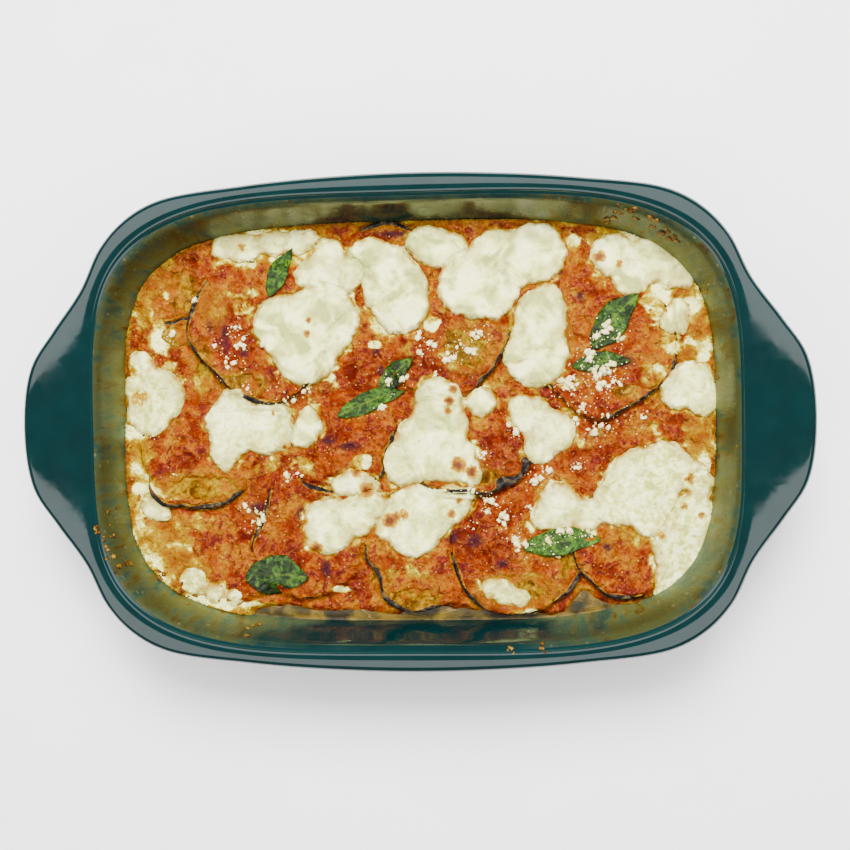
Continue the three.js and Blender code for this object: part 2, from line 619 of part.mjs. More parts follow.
const pieces = [
  { name: 'filling', kind: 'sauce', finish: TOMATO, solid: fillingSolid(), takesCrumbs: true },
  { name: 'oil_pool', kind: 'oil', finish: OLIVE_OIL, solid: oilSolid(), cutter: () => oilSolid(GAP) },
  ...SLICES.map((slice) => ({
    name: slice.name,
    kind: 'slice',
    finish: EGGPLANT,
    solid: sliceSolid(slice),
    cutter: (sameKind) => sliceSolid(slice, GAP, sameKind ? DEEP : 0),
    takesCrumbs: true,
  })),
  ...CHEESES.map((cheese) => ({
    name: cheese.name,
    kind: 'cheese',
    finish: MOZZARELLA,
    solid: cheeseSolid(cheese),
    cutter: (sameKind) => cheeseSolid(cheese, GAP, sameKind ? DEEP : 0),
    takesCrumbs: true,
  })),
  ...LEAVES.map((leaf) => ({
    name: leaf.name,
    kind: 'leaf',
    finish: BASIL,
    solid: leafSolid(leaf),
    cutter: () => leafSolid(leaf, LEAF.clearance),
  })),
];
cutByUpper(pieces);
addCrumbs(pieces);

const group = new THREE.Group();
addMesh(group, 'dish', dishGeometry(), CERAMIC);
for (const piece of pieces) addMesh(group, piece.name, toGeometry(piece.solid), piece.finish);

export default group;
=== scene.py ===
"""A baked dish of eggplant parmigiana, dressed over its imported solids.

The food is laid out in millimetres from the middle of the foot, with +X along the two handles,
and every mesh is made in metres.
"""

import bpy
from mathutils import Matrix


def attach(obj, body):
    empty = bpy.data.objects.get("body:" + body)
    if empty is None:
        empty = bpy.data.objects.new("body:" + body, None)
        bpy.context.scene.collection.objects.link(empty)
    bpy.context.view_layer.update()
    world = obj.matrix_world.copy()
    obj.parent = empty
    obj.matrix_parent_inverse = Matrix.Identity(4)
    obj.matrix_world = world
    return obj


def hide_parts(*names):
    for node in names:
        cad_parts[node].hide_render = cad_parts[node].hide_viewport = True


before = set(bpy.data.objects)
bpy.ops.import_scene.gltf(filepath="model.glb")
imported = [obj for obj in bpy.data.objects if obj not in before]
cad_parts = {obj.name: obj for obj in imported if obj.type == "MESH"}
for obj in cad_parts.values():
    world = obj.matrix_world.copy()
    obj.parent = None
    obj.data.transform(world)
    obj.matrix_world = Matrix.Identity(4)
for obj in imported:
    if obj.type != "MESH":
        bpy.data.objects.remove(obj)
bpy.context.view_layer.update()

import math
import random

import bmesh
import bpy
import numpy as np
from mathutils import Matrix, Vector, noise

MM = 0.001

# Driving dimensions of the dish
DISH = {
    "height": 70,
    "length": 330,
    "width": 232,
    "floor": 8,
    "food_level": 45,
    "corner_power": 3.8,
    "columns": 360,
    "wall_foot": 16,
    "wall_inset": (15.2, 15.8),
    "wall_opening": (4.9, 5.0),
}
FOOT = {"length": 282, "width": 182, "ring": 8, "recess": 1.5}

# How the rim's top rolls over at its edges, slopes in and falls out, and how the handles hang
RIM = {
    "inner_roll": 0.9, "inner_radius": 0.5, "outer_roll": 2.7, "outer_radius": 1.05,
    "slope": 0.14, "slope_width": 3.4, "fall": 0.03, "fall_width": 8,
    "handle_droop": 2.0, "droop_from": 4, "droop_to": 30, "half_handle": 60,
    "handle_roll": 1.2, "roll_width": 35,
}

# How much film is baked onto the inside, and how much less on the far and near walls
FILM = {"amount": 0.76, "less_far": 0.25, "less_near": 0.4}

# One quarter of the rim's outline, from the tip of a handle to the middle of a long side
RIM_QUARTER = [
    (200, 0), (195.8, 31), (184, 49.4), (168.8, 70), (158.2, 91.4),
    (145.2, 105.5), (127.6, 114.9), (84.8, 121.1), (45.2, 124.3), (0, 125.6),
]

SAUCE = {"level": 40.2, "swell": 1.2, "dip": 5.5, "depth": 1.0, "cell": 0.86, "underside": 30}
SLICE = {"underside": 34.6, "lip": 0.7, "cell": 1.0, "gap": 0.3}
CHEESE = {"thickness": 3.2, "rim": 3.4, "cell": 0.75, "blend": 1.5, "gap": 0.05, "reach": 6}
OIL = {"level": 38.5, "cell": 0.8, "underside": 33, "box": (-94, -107, 133, -76)}

# A height over everything, in millimetres
OVERHEAD = 120

# Radii of crumbs and of the finest crumbs round them, and the sizes of a chip's parts
CRUMB = {"least": 0.55, "more": 1.25, "fine": (0.22, 0.42), "fine_reach": 2.6, "seed": 7}
CHIP = {"parts": 5, "apart": 1.2, "part": (0.3, 0.7), "flatness": 0.45, "seed": 11}

CAMERA = {
    "lens": 53.9, "sensor": 36, "clip": (0.05, 20),
    "place": (0.05094, 0.01564, 0.70339), "turn": (-0.02687, 0.06915, -0.01552),
}

# Area lights: place, what they aim at, size and power; the fill leaves no highlight
LIGHTS = {
    "softbox_far": ((0, 0.619, 1.5), (0, 0.3, 0), (3.2, 0.95), 37),
    "softbox_near": ((0, -0.685, 1.5), (0, -0.3, 0), (3.2, 0.95), 34),
    "overhead_fill": ((0.05, 0.85, 1.35), (0, 0, 0), (0.7, 0.7), 75),
}
STUDIO_LIGHT = 0.27

# Eggplant slices, the lowest first. A dent is an angle, a depth and half its spread in degrees;
# skin is the arcs where the dark skin shows and how wide it is there.
SLICES = {
    "eggplant_corner_left": {
        "at": (-118, 72), "size": (29, 25), "top": 42.5, "slope": (-0.02, 0.03),
        "tone": 0.1,
    },
    "eggplant_left_upper": {
        "at": (-122, 38), "size": (24, 27), "top": 41.8, "slope": (-0.03, 0.02),
        "dents": [(90, -9, 60)], "skin": [(55, 125, 1.0)], "tone": 0.85,
    },
    "eggplant_near_left": {
        "at": (-127, -63), "size": (27, 27), "top": 42.2, "slope": (-0.02, -0.03),
        "tone": 0.3,
    },
    "eggplant_near_round": {
        "at": (-98, -64), "size": (27, 31), "top": 42.6, "slope": (0.02, -0.04),
        "tone": 0.2,
    },
    "eggplant_left_lower": {
        "at": (-114, -13), "size": (31, 31), "top": 43.4, "slope": (-0.04, -0.06),
        "dents": [(-132, 5, 26)], "skin": [(212, 318, 1.4)], "tone": 0.5,
    },
    "eggplant_far_left": {
        "at": (-82, 48), "size": (37, 39), "top": 44.2, "slope": (-0.05, -0.04),
        "dents": [(-125, -5.5, 60)], "skin": [(130, 288, 1.3)], "tone": 0.4,
    },
    "eggplant_far_middle": {
        "at": (-15, 82), "size": (26, 22), "top": 42.4, "slope": (0.01, 0.05),
        "skin": [(50, 130, 1.5)], "tone": 0.5,
    },
    "eggplant_centre_left": {
        "at": (-32, -8), "size": (22, 26), "top": 42.4, "slope": (0.05, -0.03),
        "dents": [(-28, -3.5, 25)], "skin": [(300, 372, 1.6)], "tone": 0.6,
    },
    "eggplant_near_middle": {
        "at": (-58, -58), "size": (30, 34), "top": 43.2, "slope": (-0.06, -0.02),
        "dents": [(160, -5, 40), (75, -8, 40)], "skin": [(50, 100, 1.1), (125, 200, 1.6)], "tone": 0.3,
    },
    "eggplant_near_centre": {
        "at": (1, -70), "size": (29, 29), "top": 42.2, "slope": (-0.04, -0.05),
        "dents": [(-155, -3.5, 25)], "skin": [(165, 296, 1.7)], "tone": 0.3,
    },
    "eggplant_near_right": {
        "at": (51, -69), "size": (34, 32), "top": 43.2, "slope": (0.0, -0.05),
        "dents": [(-25, 2.5, 25), (8, -4, 20)], "skin": [(172, 250, 1.4), (308, 360, 1.4)], "tone": 0.4,
    },
    "eggplant_near_corner": {
        "at": (106, -69), "size": (25, 24), "top": 42.8, "slope": (-0.03, -0.05),
        "dents": [(-133, -2, 25)], "skin": [(168, 300, 1.3)], "tone": 0.2,
    },
    "eggplant_centre": {
        "at": (27, -6), "size": (34, 34), "top": 43.2, "slope": (0.02, -0.08),
        "dents": [(-100, -2, 30), (-35, 2.5, 25)], "skin": [(246, 300, 2.2), (292, 342, 5.6)],
        "tone": 0.3,
    },
    "eggplant_centre_upper": {
        "at": (17, 42), "size": (34, 31), "top": 43.4, "slope": (0.05, -0.05),
        "dents": [(-35, -5.5, 42)], "skin": [(300, 368, 1.1)], "tone": 0.8,
    },
    "eggplant_right": {
        "at": (100, 36), "size": (36, 36), "top": 43.4, "slope": (0.03, -0.05),
        "dents": [(-58, -5, 45)], "skin": [(263, 358, 1.2)], "tone": 0.1,
    },
}

# Melted mozzarella, the lowest first: round pools (x, y, radius) that have run together
CHEESES = {
    "mozzarella_far_strip": [(-99, 93, 7), (-88, 93, 8), (-74, 95, 7.5), (-61, 95, 7), (-55, 97, 5)],
    "mozzarella_far_fold": [(-23, 84, 12.5), (-14, 82, 12), (-10, 71, 17), (-7, 61, 15)],
    "mozzarella_far_small": [(10, 91, 11), (20, 89, 9), (4, 94, 7.2)],
    "mozzarella_far_left": [(-44, 88, 9), (-50, 79, 9), (-35, 77, 9.5), (-56, 77, 6.5), (-42, 71, 8)],
    "mozzarella_middle_left": [(-68, 52, 16.3), (-48, 54, 19.4), (-57, 37, 16.8)],
    "mozzarella_far_right": [(64, 87, 16), (45, 82, 17.5), (30, 71, 17.5), (40, 67, 14.5)],
    "mozzarella_oval": [(65, 53, 14.3), (63, 34, 16.9), (68, 62, 8.7)],
    "mozzarella_corner_right": [
        (103, 85, 12), (121, 82, 12), (132, 76, 9), (112, 73, 9.5), (140, 71, 5),
    ],
    "mozzarella_left": [(-136, 16, 14.5), (-145, 7, 9), (-140, 5, 10.5), (-148, 20, 8), (-146, 33, 7)],
    "mozzarella_left_centre": [
        (-95, 0, 15.6), (-78, -2, 14.5), (-100, -13, 9), (-96, 12, 8), (-100, -21, 4),
    ],
    "mozzarella_left_tail": [(-57, -2, 7.2), (-60, -7, 6.1), (-57, 4, 5.3)],
    "mozzarella_centre": [
        (12, 10, 13), (5, -15, 16), (-4, -20, 13), (18, -19, 13), (34, 10, 8), (13, -4, 15),
        (-9, -28, 6), (-1, -6, 9), (29, -27, 6),
    ],
    "mozzarella_right_centre": [(60, 3, 10.3), (72, -6, 11.5), (64, -15, 8.5), (54, 8, 6)],
    "mozzarella_near_centre": [
        (2, -48, 16), (-2, -57, 14.1), (17, -43, 11), (-9, -48, 11), (-17, -56, 5), (26, -38, 4),
    ],
    "mozzarella_near_tail": [(-32, -31, 7.3), (-39, -33, 6), (-24, -33, 4.7)],
    "mozzarella_near_left": [
        (-46, -52, 13.5), (-33, -49, 11), (-43, -58, 9), (-50, -61, 7.4), (-24, -43, 8),
    ],
    "mozzarella_near_right": [(74, -45, 12), (88, -49, 9), (65, -51, 6), (96, -47, 6)],
    "mozzarella_right_lower": [
        (115, -34, 18.3), (128, -26, 14.5), (104, -42, 13), (123, -47, 14.5), (143, -30, 8),
    ],
    "mozzarella_corner_near": [
        (143, -50, 12), (136, -67, 15), (131, -83, 9), (147, -34, 7), (127, -91, 4),
    ],
    "mozzarella_right_upper": [(134, 50, 7.5), (137, 57, 5)],
    "mozzarella_right": [(141, 19, 10.5), (135, 14, 9.5), (148, 10, 9), (147, 22, 7)],
    "mozzarella_left_small": [(-140, -44, 5.4), (-135, -46, 4.3), (-144, -42, 3.8)],
    "mozzarella_near_band": [(-119, -83, 7.5), (-107, -89, 5.4), (-97, -91, 4.4)],
    "mozzarella_near_film": [(45, -89, 6.6), (53, -92, 5.4), (38, -87, 4.7)],
}

# How curdy a cheese is, 0.1 where it isn't named, and how thick the thin ones are
CURDY = {
    "mozzarella_right_lower": 0.9, "mozzarella_corner_near": 1.0, "mozzarella_right": 0.6,
    "mozzarella_near_right": 0.6, "mozzarella_left_centre": 0.6, "mozzarella_near_left": 0.5,
    "mozzarella_near_centre": 0.45, "mozzarella_left": 0.6, "mozzarella_centre": 0.4,
    "mozzarella_right_centre": 0.5, "mozzarella_near_band": 1.0, "mozzarella_near_film": 0.8,
    "mozzarella_far_strip": 0.5,
}
THIN = {
    "mozzarella_near_band": 0.3, "mozzarella_near_film": 0.45, "mozzarella_left_small": 0.5,
    "mozzarella_right_upper": 0.4, "mozzarella_near_tail": 0.6, "mozzarella_far_strip": 0.7,
}

# Basil leaves: middle, length and width, direction in degrees, curl, bend and how bright the green is
LEAVES = {
    "basil_far_left": ((-69, 79), (27, 10), 62, 1.2, 1.0, 0.55),
    "basil_middle_upper": ((-9.5, 24.5), (24, 11), 42, 1.6, 1.2, 0.2),
    "basil_middle_lower": ((-23, 9.5), (37, 11), 18, 1.4, 1.0, 0.6),
    "basil_right": ((104, 50), (36, 16), 48, 1.8, 1.4, 0.35),
    "basil_right_small": ((96, 28.5), (29, 10), 3, 1.0, 0.6, 0.3),
    "basil_near_right": ((75, -64.5), (40, 14), 4, 1.8, 1.6, 0.9),
    "basil_near_left": ((-74, -80.5), (33, 21), -3, 1.6, 1.2, 0.1),
}

# Places where no sauce lies on a slice: middle and half sizes
BARE = [
    (-122, 70, 9, 15), (-126, 47, 10, 7), (-93, 21, 15, 6), (-111, 30, 4, 14), (27, 38, 13, 12),
    (-4, -92, 18, 7), (52, -88, 22, 8), (77, -72, 5, 12), (-113, -33, 24, 7), (112, 14, 12, 4),
    (35, -28, 12, 5), (-20, -84, 6, 8),
]

# How the sauce differs from place to place, each place a middle and half sizes:
# cream is melted cheese spread thin, milk is the same where it is white, gold is grease baked
# golden, veil is the thinnest cheese, orange is oily, red is plain tomato and dark is scorched
SAUCE_PLACES = {
    "cream": [
        (126, 61, 12, 14), (144, 60, 10, 20), (146, 37, 11, 11), (141, 78, 12, 10), (149, 14, 9, 18),
        (147, -11, 11, 16), (112, 96, 26, 6), (132, 40, 8, 10), (-136, -71, 18, 18),
        (-128, -61, 13, 14), (-112, -92, 22, 7), (-88, -97, 18, 5), (-146, -13, 9, 13),
        (-145, -26, 7, 7), (-144, 64, 8, 16), (-134, 48, 6, 9), (113, -58, 9, 9), (43, -88, 14, 8),
        (125, -62, 7, 16), (-141, -37, 9, 12), (-149, -2, 7, 15), (-133, 85, 10, 9), (-64, 87, 20, 6),
        (-90, 88, 18, 8), (100, 92, 16, 6), (-150, -50, 8, 18), (-17, 52, 8, 10),
    ],
    "milk": [
        (-134, 45, 7, 9), (-130, 69, 3, 4), (9, 51, 6, 5), (-115, -91, 9, 5), (-99, -95, 8, 4),
        (-150, -22, 5, 7), (141, 58, 6, 9), (148, 32, 4, 5), (83, 92, 5, 6), (-41, -87, 6, 2.5),
        (45, -92, 8, 4), (-148, -32, 4, 6), (-20, 41, 5, 3), (132, 68, 8, 5), (146, 74, 5, 4),
        (-148, 84, 5, 5), (-78, 99, 22, 5), (118, 95, 14, 6), (57, -99, 8, 3), (-151, -62, 4, 10),
        (-136, -86, 8, 5), (-28, -20, 6, 5), (149, -24, 4, 8), (-40, 68, 12, 5), (136, 88, 8, 8),
        (-142, -45, 5, 6), (40, -86, 5, 5),
    ],
    "gold": [
        (140, 65, 7, 5), (148, 54, 4, 8), (145, 44, 6, 5), (144, 33, 8, 5), (146, -9, 8, 12),
        (-146, -12, 8, 8), (-151, 14, 4, 7), (-144, 26, 7, 6), (-148, 9, 4, 5), (-138, 80, 11, 17),
        (-125, 95, 15, 6), (-142, 64, 7, 13), (-136, -59, 14, 15), (-118, -77, 10, 8),
        (-125, -71, 8, 8), (123, -19, 5, 5), (111, -56, 7, 8), (-88, -98, 14, 3), (-153, -48, 4, 15),
        (27, 38, 15, 14), (-92, 21, 17, 8), (-113, -32, 26, 9), (-105, 62, 8, 12), (52, -88, 25, 10),
        (77, 44, 6, 14), (-112, 30, 7, 16),
    ],
    "veil": [
        (-17, 50, 13, 14), (-60, -24, 14, 9), (-82, -22, 14, 8), (80, 22, 12, 10), (-4, -78, 20, 7),
        (-112, -52, 12, 10), (104, -54, 12, 7), (40, 18, 12, 7), (124, 24, 10, 20), (-140, -78, 12, 12),
        (98, 76, 8, 12), (128, 55, 8, 14), (-6, 38, 10, 8), (-130, 30, 10, 10), (-47, -38, 10, 8),
        (-88, 66, 14, 12), (-52, 20, 14, 6), (90, -10, 14, 8), (120, -4, 14, 8),
    ],
    "orange": [
        (78, 82, 9, 14), (78, 60, 8, 12), (86, 38, 9, 10), (9, 63, 5, 12), (-28, 54, 7, 12),
        (123, 36, 13, 12), (103, -66, 14, 12), (29, 63, 12, 6), (-6, 102, 26, 5), (-124, -4, 16, 14),
        (-94, -68, 12, 14), (-22, -66, 10, 12), (70, -30, 20, 8), (-74, 84, 10, 6), (30, 100, 14, 4),
        (-68, -40, 8, 12),
    ],
    "red": [
        (44, -16, 12, 12), (-97, 44, 9, 14), (-84, 28, 12, 8), (-122, -8, 10, 12), (-34, 24, 16, 10),
        (8, 30, 14, 6), (-58, -30, 16, 10), (-67, -72, 12, 14), (-41, -86, 12, 8), (108, -90, 14, 5),
        (33, -58, 16, 18), (88, -24, 14, 9), (-36, -84, 18, 9), (-40, -6, 16, 12), (30, 54, 18, 6),
    ],
    "dark": [
        (-99, 46, 2.5, 8), (-20, 38, 3, 3), (-46, -9, 5, 2.5), (-35, -12, 7, 3), (-26, -18, 3, 2.5),
        (126, 53, 3, 3), (108, 30, 7, 4), (-107, 52, 2, 5), (-89, 38, 2.5, 4), (-18, 27, 3, 4),
        (76, 77, 3, 3), (86, 64, 3, 3), (95, -7, 3, 3), (-61, -47, 3, 5), (-84, -44, 5, 5),
        (30, -62, 5, 4), (-4, 98, 22, 2.5), (44, -74, 4, 3), (18, -60, 4, 4), (-48, -76, 3, 6),
        (78, -48, 3, 2), (98, -66, 3, 3),
    ],
}

# Toasted spots on the cheese: middle, radius and strength
TOASTED = [
    (-55, 54, 1.6, 0.8), (-56, 47, 2.0, 0.7), (65, 15, 1.8, 0.8), (-150, 29, 4.5, 0.35),
    (-146, 15, 5.5, 0.4), (-69, -12, 1.4, 0.9), (20, 17, 2.2, 0.9), (18, 11, 2.4, 1.0),
    (17, 6, 2.0, 0.8), (22, -22, 3.6, 1.0), (29, -26, 3.2, 1.0), (-14, -51, 3.6, 1.1),
    (-11, -49, 2.6, 0.8), (-7, -48, 3.0, 0.5), (18, -48, 2.2, 0.8), (22, -41, 1.8, 0.6),
    (-26, -35, 3.8, 0.9), (-31, -25, 3.0, 0.8), (-53, -65, 3.4, 0.9), (-59, -51, 2.6, 0.6),
    (96, 84, 3.0, 0.9), (106, 80, 2.0, 0.6), (121, -84, 3.4, 0.6), (141, -31, 3.0, 0.6),
    (-90, 93, 2.6, 0.5), (138, -45, 2.4, 0.5), (147, -50, 2.0, 0.6), (-75, 6, 1.5, 0.5),
    (126, -60, 2.6, 0.4),
]

# Small pits in the cheese, from burst bubbles: middle and radius
PITS = [
    (-23, 76, 3.0), (-10, 78, 2.2), (-11, 72, 2.6), (-29, 69, 1.6), (-22, 69, 1.3), (-13, 58, 2.2),
    (-25, 72, 1.4), (47, 77, 3.2), (-44, 45, 1.6), (-40, 44, 1.8), (-47, 37, 1.6), (22, 74, 2.0),
    (-57, 81, 1.6), (62, 95, 4.6), (68, 40, 1.6), (-87, -6, 2.0), (2, -10, 1.4), (66, -10, 1.6),
    (-140, 8, 1.6), (-3, 66, 1.6),
]

# Folds where melted cheese lies over an edge below: from, to and how deep
FOLDS = [
    ((-73, 47), (-52, 47), 0.5), ((-35, 91), (-24, 80), 0.9), ((105, 77), (118, 67), 0.9),
    ((60, 12), (72, 6), 0.9), ((-65, -2), (-69, -18), 0.9), ((-90, -2), (-76, -4), 0.3),
    ((100, -38), (92, -34), 0.8), ((-3, 3), (14, -4), 0.35), ((50, 88), (34, 78), 0.3),
    ((60, 44), (62, 26), 0.3), ((130, -52), (118, -46), 0.5),
]

# Loose clusters of grated cheese: middle, how many crumbs and how far they spread
CRUMBS = [
    (-93, 50, 5, 3), (-91, 43, 7, 4), (-104, 41, 3, 2), (-98, 33, 5, 4), (-79, 43, 2, 2),
    (-115, 66, 2, 1), (-128, 48, 3, 2), (-57, 18, 3, 2), (-68, 13, 6, 4), (-88, 20, 3, 2),
    (3, 44, 4, 2), (10, 41, 3, 2), (33, 45, 9, 3), (18, 34, 7, 3), (30, 37, 5, 2), (23, 40, 3, 2),
    (4, 35, 2, 2), (10, 26, 2, 2), (-13, 21, 3, 3), (-5, 23, 3, 2), (-17, 7, 2, 2), (80, 18, 22, 5),
    (86, 6, 9, 3), (99, 47, 6, 3), (105, 42, 5, 3), (94, 42, 3, 2), (90, 33, 8, 3), (100, 26, 14, 4),
    (95, 24, 8, 4), (103, 19, 6, 3), (97, 18, 6, 3), (83, -1, 3, 2), (92, -4, 5, 3), (52, -6, 6, 2),
    (48, -2, 2, 2), (35, -18, 4, 2), (62, -31, 9, 3), (84, -24, 4, 2), (68, -26, 2, 2), (59, -45, 2, 1),
    (117, -27, 2, 1), (120, -16, 2, 1), (40, -42, 3, 2), (35, -40, 4, 2), (28, -36, 3, 2),
    (36, -47, 4, 1), (45, -51, 11, 4), (30, -54, 2, 2), (51, -62, 3, 2), (54, -65, 6, 3),
    (68, -62, 4, 2), (74, -57, 4, 2), (79, -57, 3, 1), (88, -59, 5, 3), (-128, -26, 1, 1),
    (-138, -5, 1, 1), (-90, -44, 3, 2), (-83, -49, 9, 4), (-68, -28, 3, 2), (-61, -26, 2, 2),
    (98, -2, 6, 5), (118, 2, 4, 4), (72, -70, 3, 3),
]

# Chips of baked crust: middle, radius
FLAKES = [
    (-158, -44, 1.6), (-160, -52, 2.4), (-157, -58, 2.0), (-155, -64, 2.6), (-150, -72, 2.0),
    (101, 102, 2.0), (105, 105, 2.6), (111, 103, 2.2), (121, 99, 2.0), (129, 94, 3.0), (132, 90, 2.4),
    (63, -113, 2.0), (48, -114, 1.2), (-86, -105, 2.6), (-128, -86, 2.2), (-136, -79, 2.0),
    (-120, -92, 1.8), (148, 66, 1.6), (154, 20, 1.4), (155, -20, 1.6),
]


def smooth_step(low, high, value):
    t = np.clip((value - low) / (high - low), 0.0, 1.0)
    return t * t * (3 - 2 * t)


def ripple(x, y, size, seed=0.0):
    """Smooth noise from -1 to 1 with bumps of about a size, in millimetres."""
    return np.array([noise.noise(Vector((a / size, b / size, seed))) for a, b in zip(x, y)])


def blobs(x, y, places, soft=0.5):
    """1 inside any of the oval places, falling to 0 at their edges."""
    found = np.zeros_like(x)
    for cx, cy, half_x, half_y in places:
        away = np.hypot((x - cx) / half_x, (y - cy) / half_y)
        found = np.maximum(found, 1 - smooth_step(1 - soft, 1 + soft * 0.4, away))
    return found


def between(p0, p1, p2, p3, share):
    """A point on the centripetal Catmull-Rom curve from p1 to p2, for rows of points at once."""
    def knot(a, b):
        return np.maximum(np.linalg.norm(b - a, axis=-1, keepdims=True), 1e-6) ** 0.5

    before, here, after = knot(p0, p1), knot(p1, p2), knot(p2, p3)
    start = p2 - p1 + here * ((p1 - p0) / before - (p2 - p0) / (before + here))
    end = p2 - p1 + here * ((p3 - p2) / after - (p3 - p1) / (here + after))
    cubic = 2 * (p1 - p2) + start + end
    square = 3 * (p2 - p1) - 2 * start - end
    return ((cubic * share + square) * share + start) * share + p1


def curve_through(points, steps, closed=False):
    """Points on the smooth curve through the given ones, some steps to each stretch."""
    count = len(points)
    found = []
    for i in range(count if closed else count - 1):
        p1, p2 = points[i], points[(i + 1) % count]
        p0 = points[i - 1] if closed or i > 0 else 2 * p1 - p2
        p3 = points[(i + 2) % count] if closed or i + 2 < count else 2 * p2 - p1
        found += [between(p0, p1, p2, p3, step / steps) for step in range(steps)]
    if not closed:
        found.append(points[-1])
    return found


def rounded_reach(half_length, half_width, angle):
    """Distance from the middle to the outline of the cavity's rounded rectangle."""
    power = DISH["corner_power"]
    along = np.abs(np.cos(angle) / half_length) ** power
    across = np.abs(np.sin(angle) / half_width) ** power
    return (along + across) ** (-1 / power)


def rim_reach(angle):
    """Distance from the middle to the rim's outer edge."""
    quarter = [np.array(point, float) for point in RIM_QUARTER]
    half = quarter + [p * (-1, 1) for p in quarter[-2::-1]]
    outline = half + [-p for p in half[1:-1]]
    curve = np.array(curve_through(outline, 24, closed=True))
    angles = np.arctan2(curve[:, 1], curve[:, 0])
    order = np.argsort(angles)
    return np.interp(angle, angles[order], np.hypot(*curve.T)[order], period=2 * math.pi)


def cavity_half_sizes(z):
    """Half length and half width of the cavity at a height where food touches the wall."""
    a, b = DISH["length"] / 2, DISH["width"] / 2
    (inset_x, inset_y), (open_x, open_y) = DISH["wall_inset"], DISH["wall_opening"]
    share = np.clip((z - DISH["wall_foot"]) / (DISH["food_level"] - DISH["wall_foot"]), 0, 1.4)
    return a - inset_x + open_x * share, b - inset_y + open_y * share


def wall_distance(x, y):
    """How far a point of the food's surface is from the wall."""
    half_length, half_width = cavity_half_sizes(DISH["food_level"])
    angle = np.arctan2(y, x)
    return rounded_reach(half_length, half_width, angle) - np.hypot(x, y)


# Heights of the food's layers

def slice_reach(piece, angle):
    a, b = piece["size"]
    x, y = piece["at"]
    reach = a * b / np.hypot(b * np.cos(angle), a * np.sin(angle))
    reach = reach * (1 + 0.022 * np.sin(3 * angle + x) + 0.014 * np.sin(5 * angle + y))
    for middle, depth, spread in piece.get("dents", []):
        away = np.abs(np.angle(np.exp(1j * (angle - math.radians(middle)))))
        reach = reach + depth * (1 - smooth_step(0.2, 1, away / math.radians(spread)))
    return reach


def slice_inset(piece, x, y):
    """How far inside a slice's outline a point is, below zero outside."""
    dx, dy = x - piece["at"][0], y - piece["at"][1]
    return slice_reach(piece, np.arctan2(dy, dx)) - np.hypot(dx, dy)


def slice_plane(piece, x, y):
    (at_x, at_y), (slope_x, slope_y) = piece["at"], piece["slope"]
    return piece["top"] + slope_x * (x - at_x) + slope_y * (y - at_y)


def skin_width(piece, x, y):
    """Width of the skin that shows at a point's angle, 0 where none does."""
    angle = np.degrees(np.arctan2(y - piece["at"][1], x - piece["at"][0])) % 360
    width = np.zeros_like(angle)
    for start, end, wide in piece.get("skin", []):
        into = np.minimum((angle - start) % 360, (end - angle) % 360)
        inside = (angle - start) % 360 < end - start
        width = np.maximum(width, np.where(inside, wide * smooth_step(0, 10, into), 0))
    uneven = 0.35 * np.sin(0.31 * x + 0.2 * y) + 0.35 * np.sin(0.17 * x - 0.29 * y + 1.3)
    return width * (1 + uneven)


def oil_inset(x, y):
    """How far inside the shore of the oil a point is, below zero outside."""
    shore = -95.5 + 2.0 * np.sin(x / 15 + 0.6) + 1.2 * np.sin(x / 6.5)
    shore = shore + 9 * np.exp(-(((x - 86) / 6) ** 2))
    return np.minimum(shore - y, np.minimum(x + 92, 131 - x))


def sauce_level(x, y):
    swell = np.sin(x / 21 + 0.7) * np.cos(y / 17 - 0.4) + 0.6 * np.sin((x - y) / 12)
    near_side = smooth_step(0, 7, oil_inset(x, y))
    return SAUCE["level"] + SAUCE["swell"] * swell - SAUCE["dip"] * near_side


def bed_top(x, y):
    """Top of the sauce or of the highest slice over a point."""
    top = sauce_level(x, y)
    for piece in SLICES.values():
        inside = slice_inset(piece, x, y) > 0
        top = np.where(inside, np.maximum(top, slice_plane(piece, x, y)), top)
    return top


def smoothed(height, x, y, reach):
    """The mean of a height at a point and at two rings of six points round it."""
    total = 2 * height(x, y)
    for i in range(12):
        angle = i * math.pi / 3 + (0.5 if i > 5 else 0)
        far = reach if i > 5 else 0.5 * reach
        total = total + height(x + far * math.cos(angle), y + far * math.sin(angle))
    return total / 14


def pool_inset(pools, x, y):
    """How far inside the run-together pools a point is, below zero outside."""
    blend = CHEESE["blend"]
    total = 0
    for pool_x, pool_y, radius in pools:
        total = total + np.exp(np.clip((radius - np.hypot(x - pool_x, y - pool_y)) / blend, -60, 60))
    return blend * np.log(total)


def pools_inset(x, y):
    """The same for all the cheeses together."""
    return np.maximum.reduce([pool_inset(pools, x, y) for pools in CHEESES.values()])


def later_pieces(pieces, name):
    """The pieces that lie over a named one."""
    names = list(pieces)
    return [pieces[later] for later in names[names.index(name) + 1:]]


def cheese_inset(name, x, y, wobble):
    """Inset of one cheese's own outline, cut back by the cheeses that lie over it."""
    inset = pool_inset(CHEESES[name], x, y) + wobble
    for upper in later_pieces(CHEESES, name):
        inset = np.minimum(inset, -(pool_inset(upper, x, y) + wobble) - CHEESE["gap"])
    return np.minimum(inset, wall_distance(x, y) - 0.2)


def cheese_wobble(x, y):
    """Small unevenness of the melted edges."""
    return 1.3 * ripple(x, y, 9, 3.1) + 0.9 * ripple(x, y, 3.6, 8.4) + 0.4 * ripple(x, y, 1.7, 2.9)


def any_cheese_inset(x, y):
    return pools_inset(x, y) + cheese_wobble(x, y)


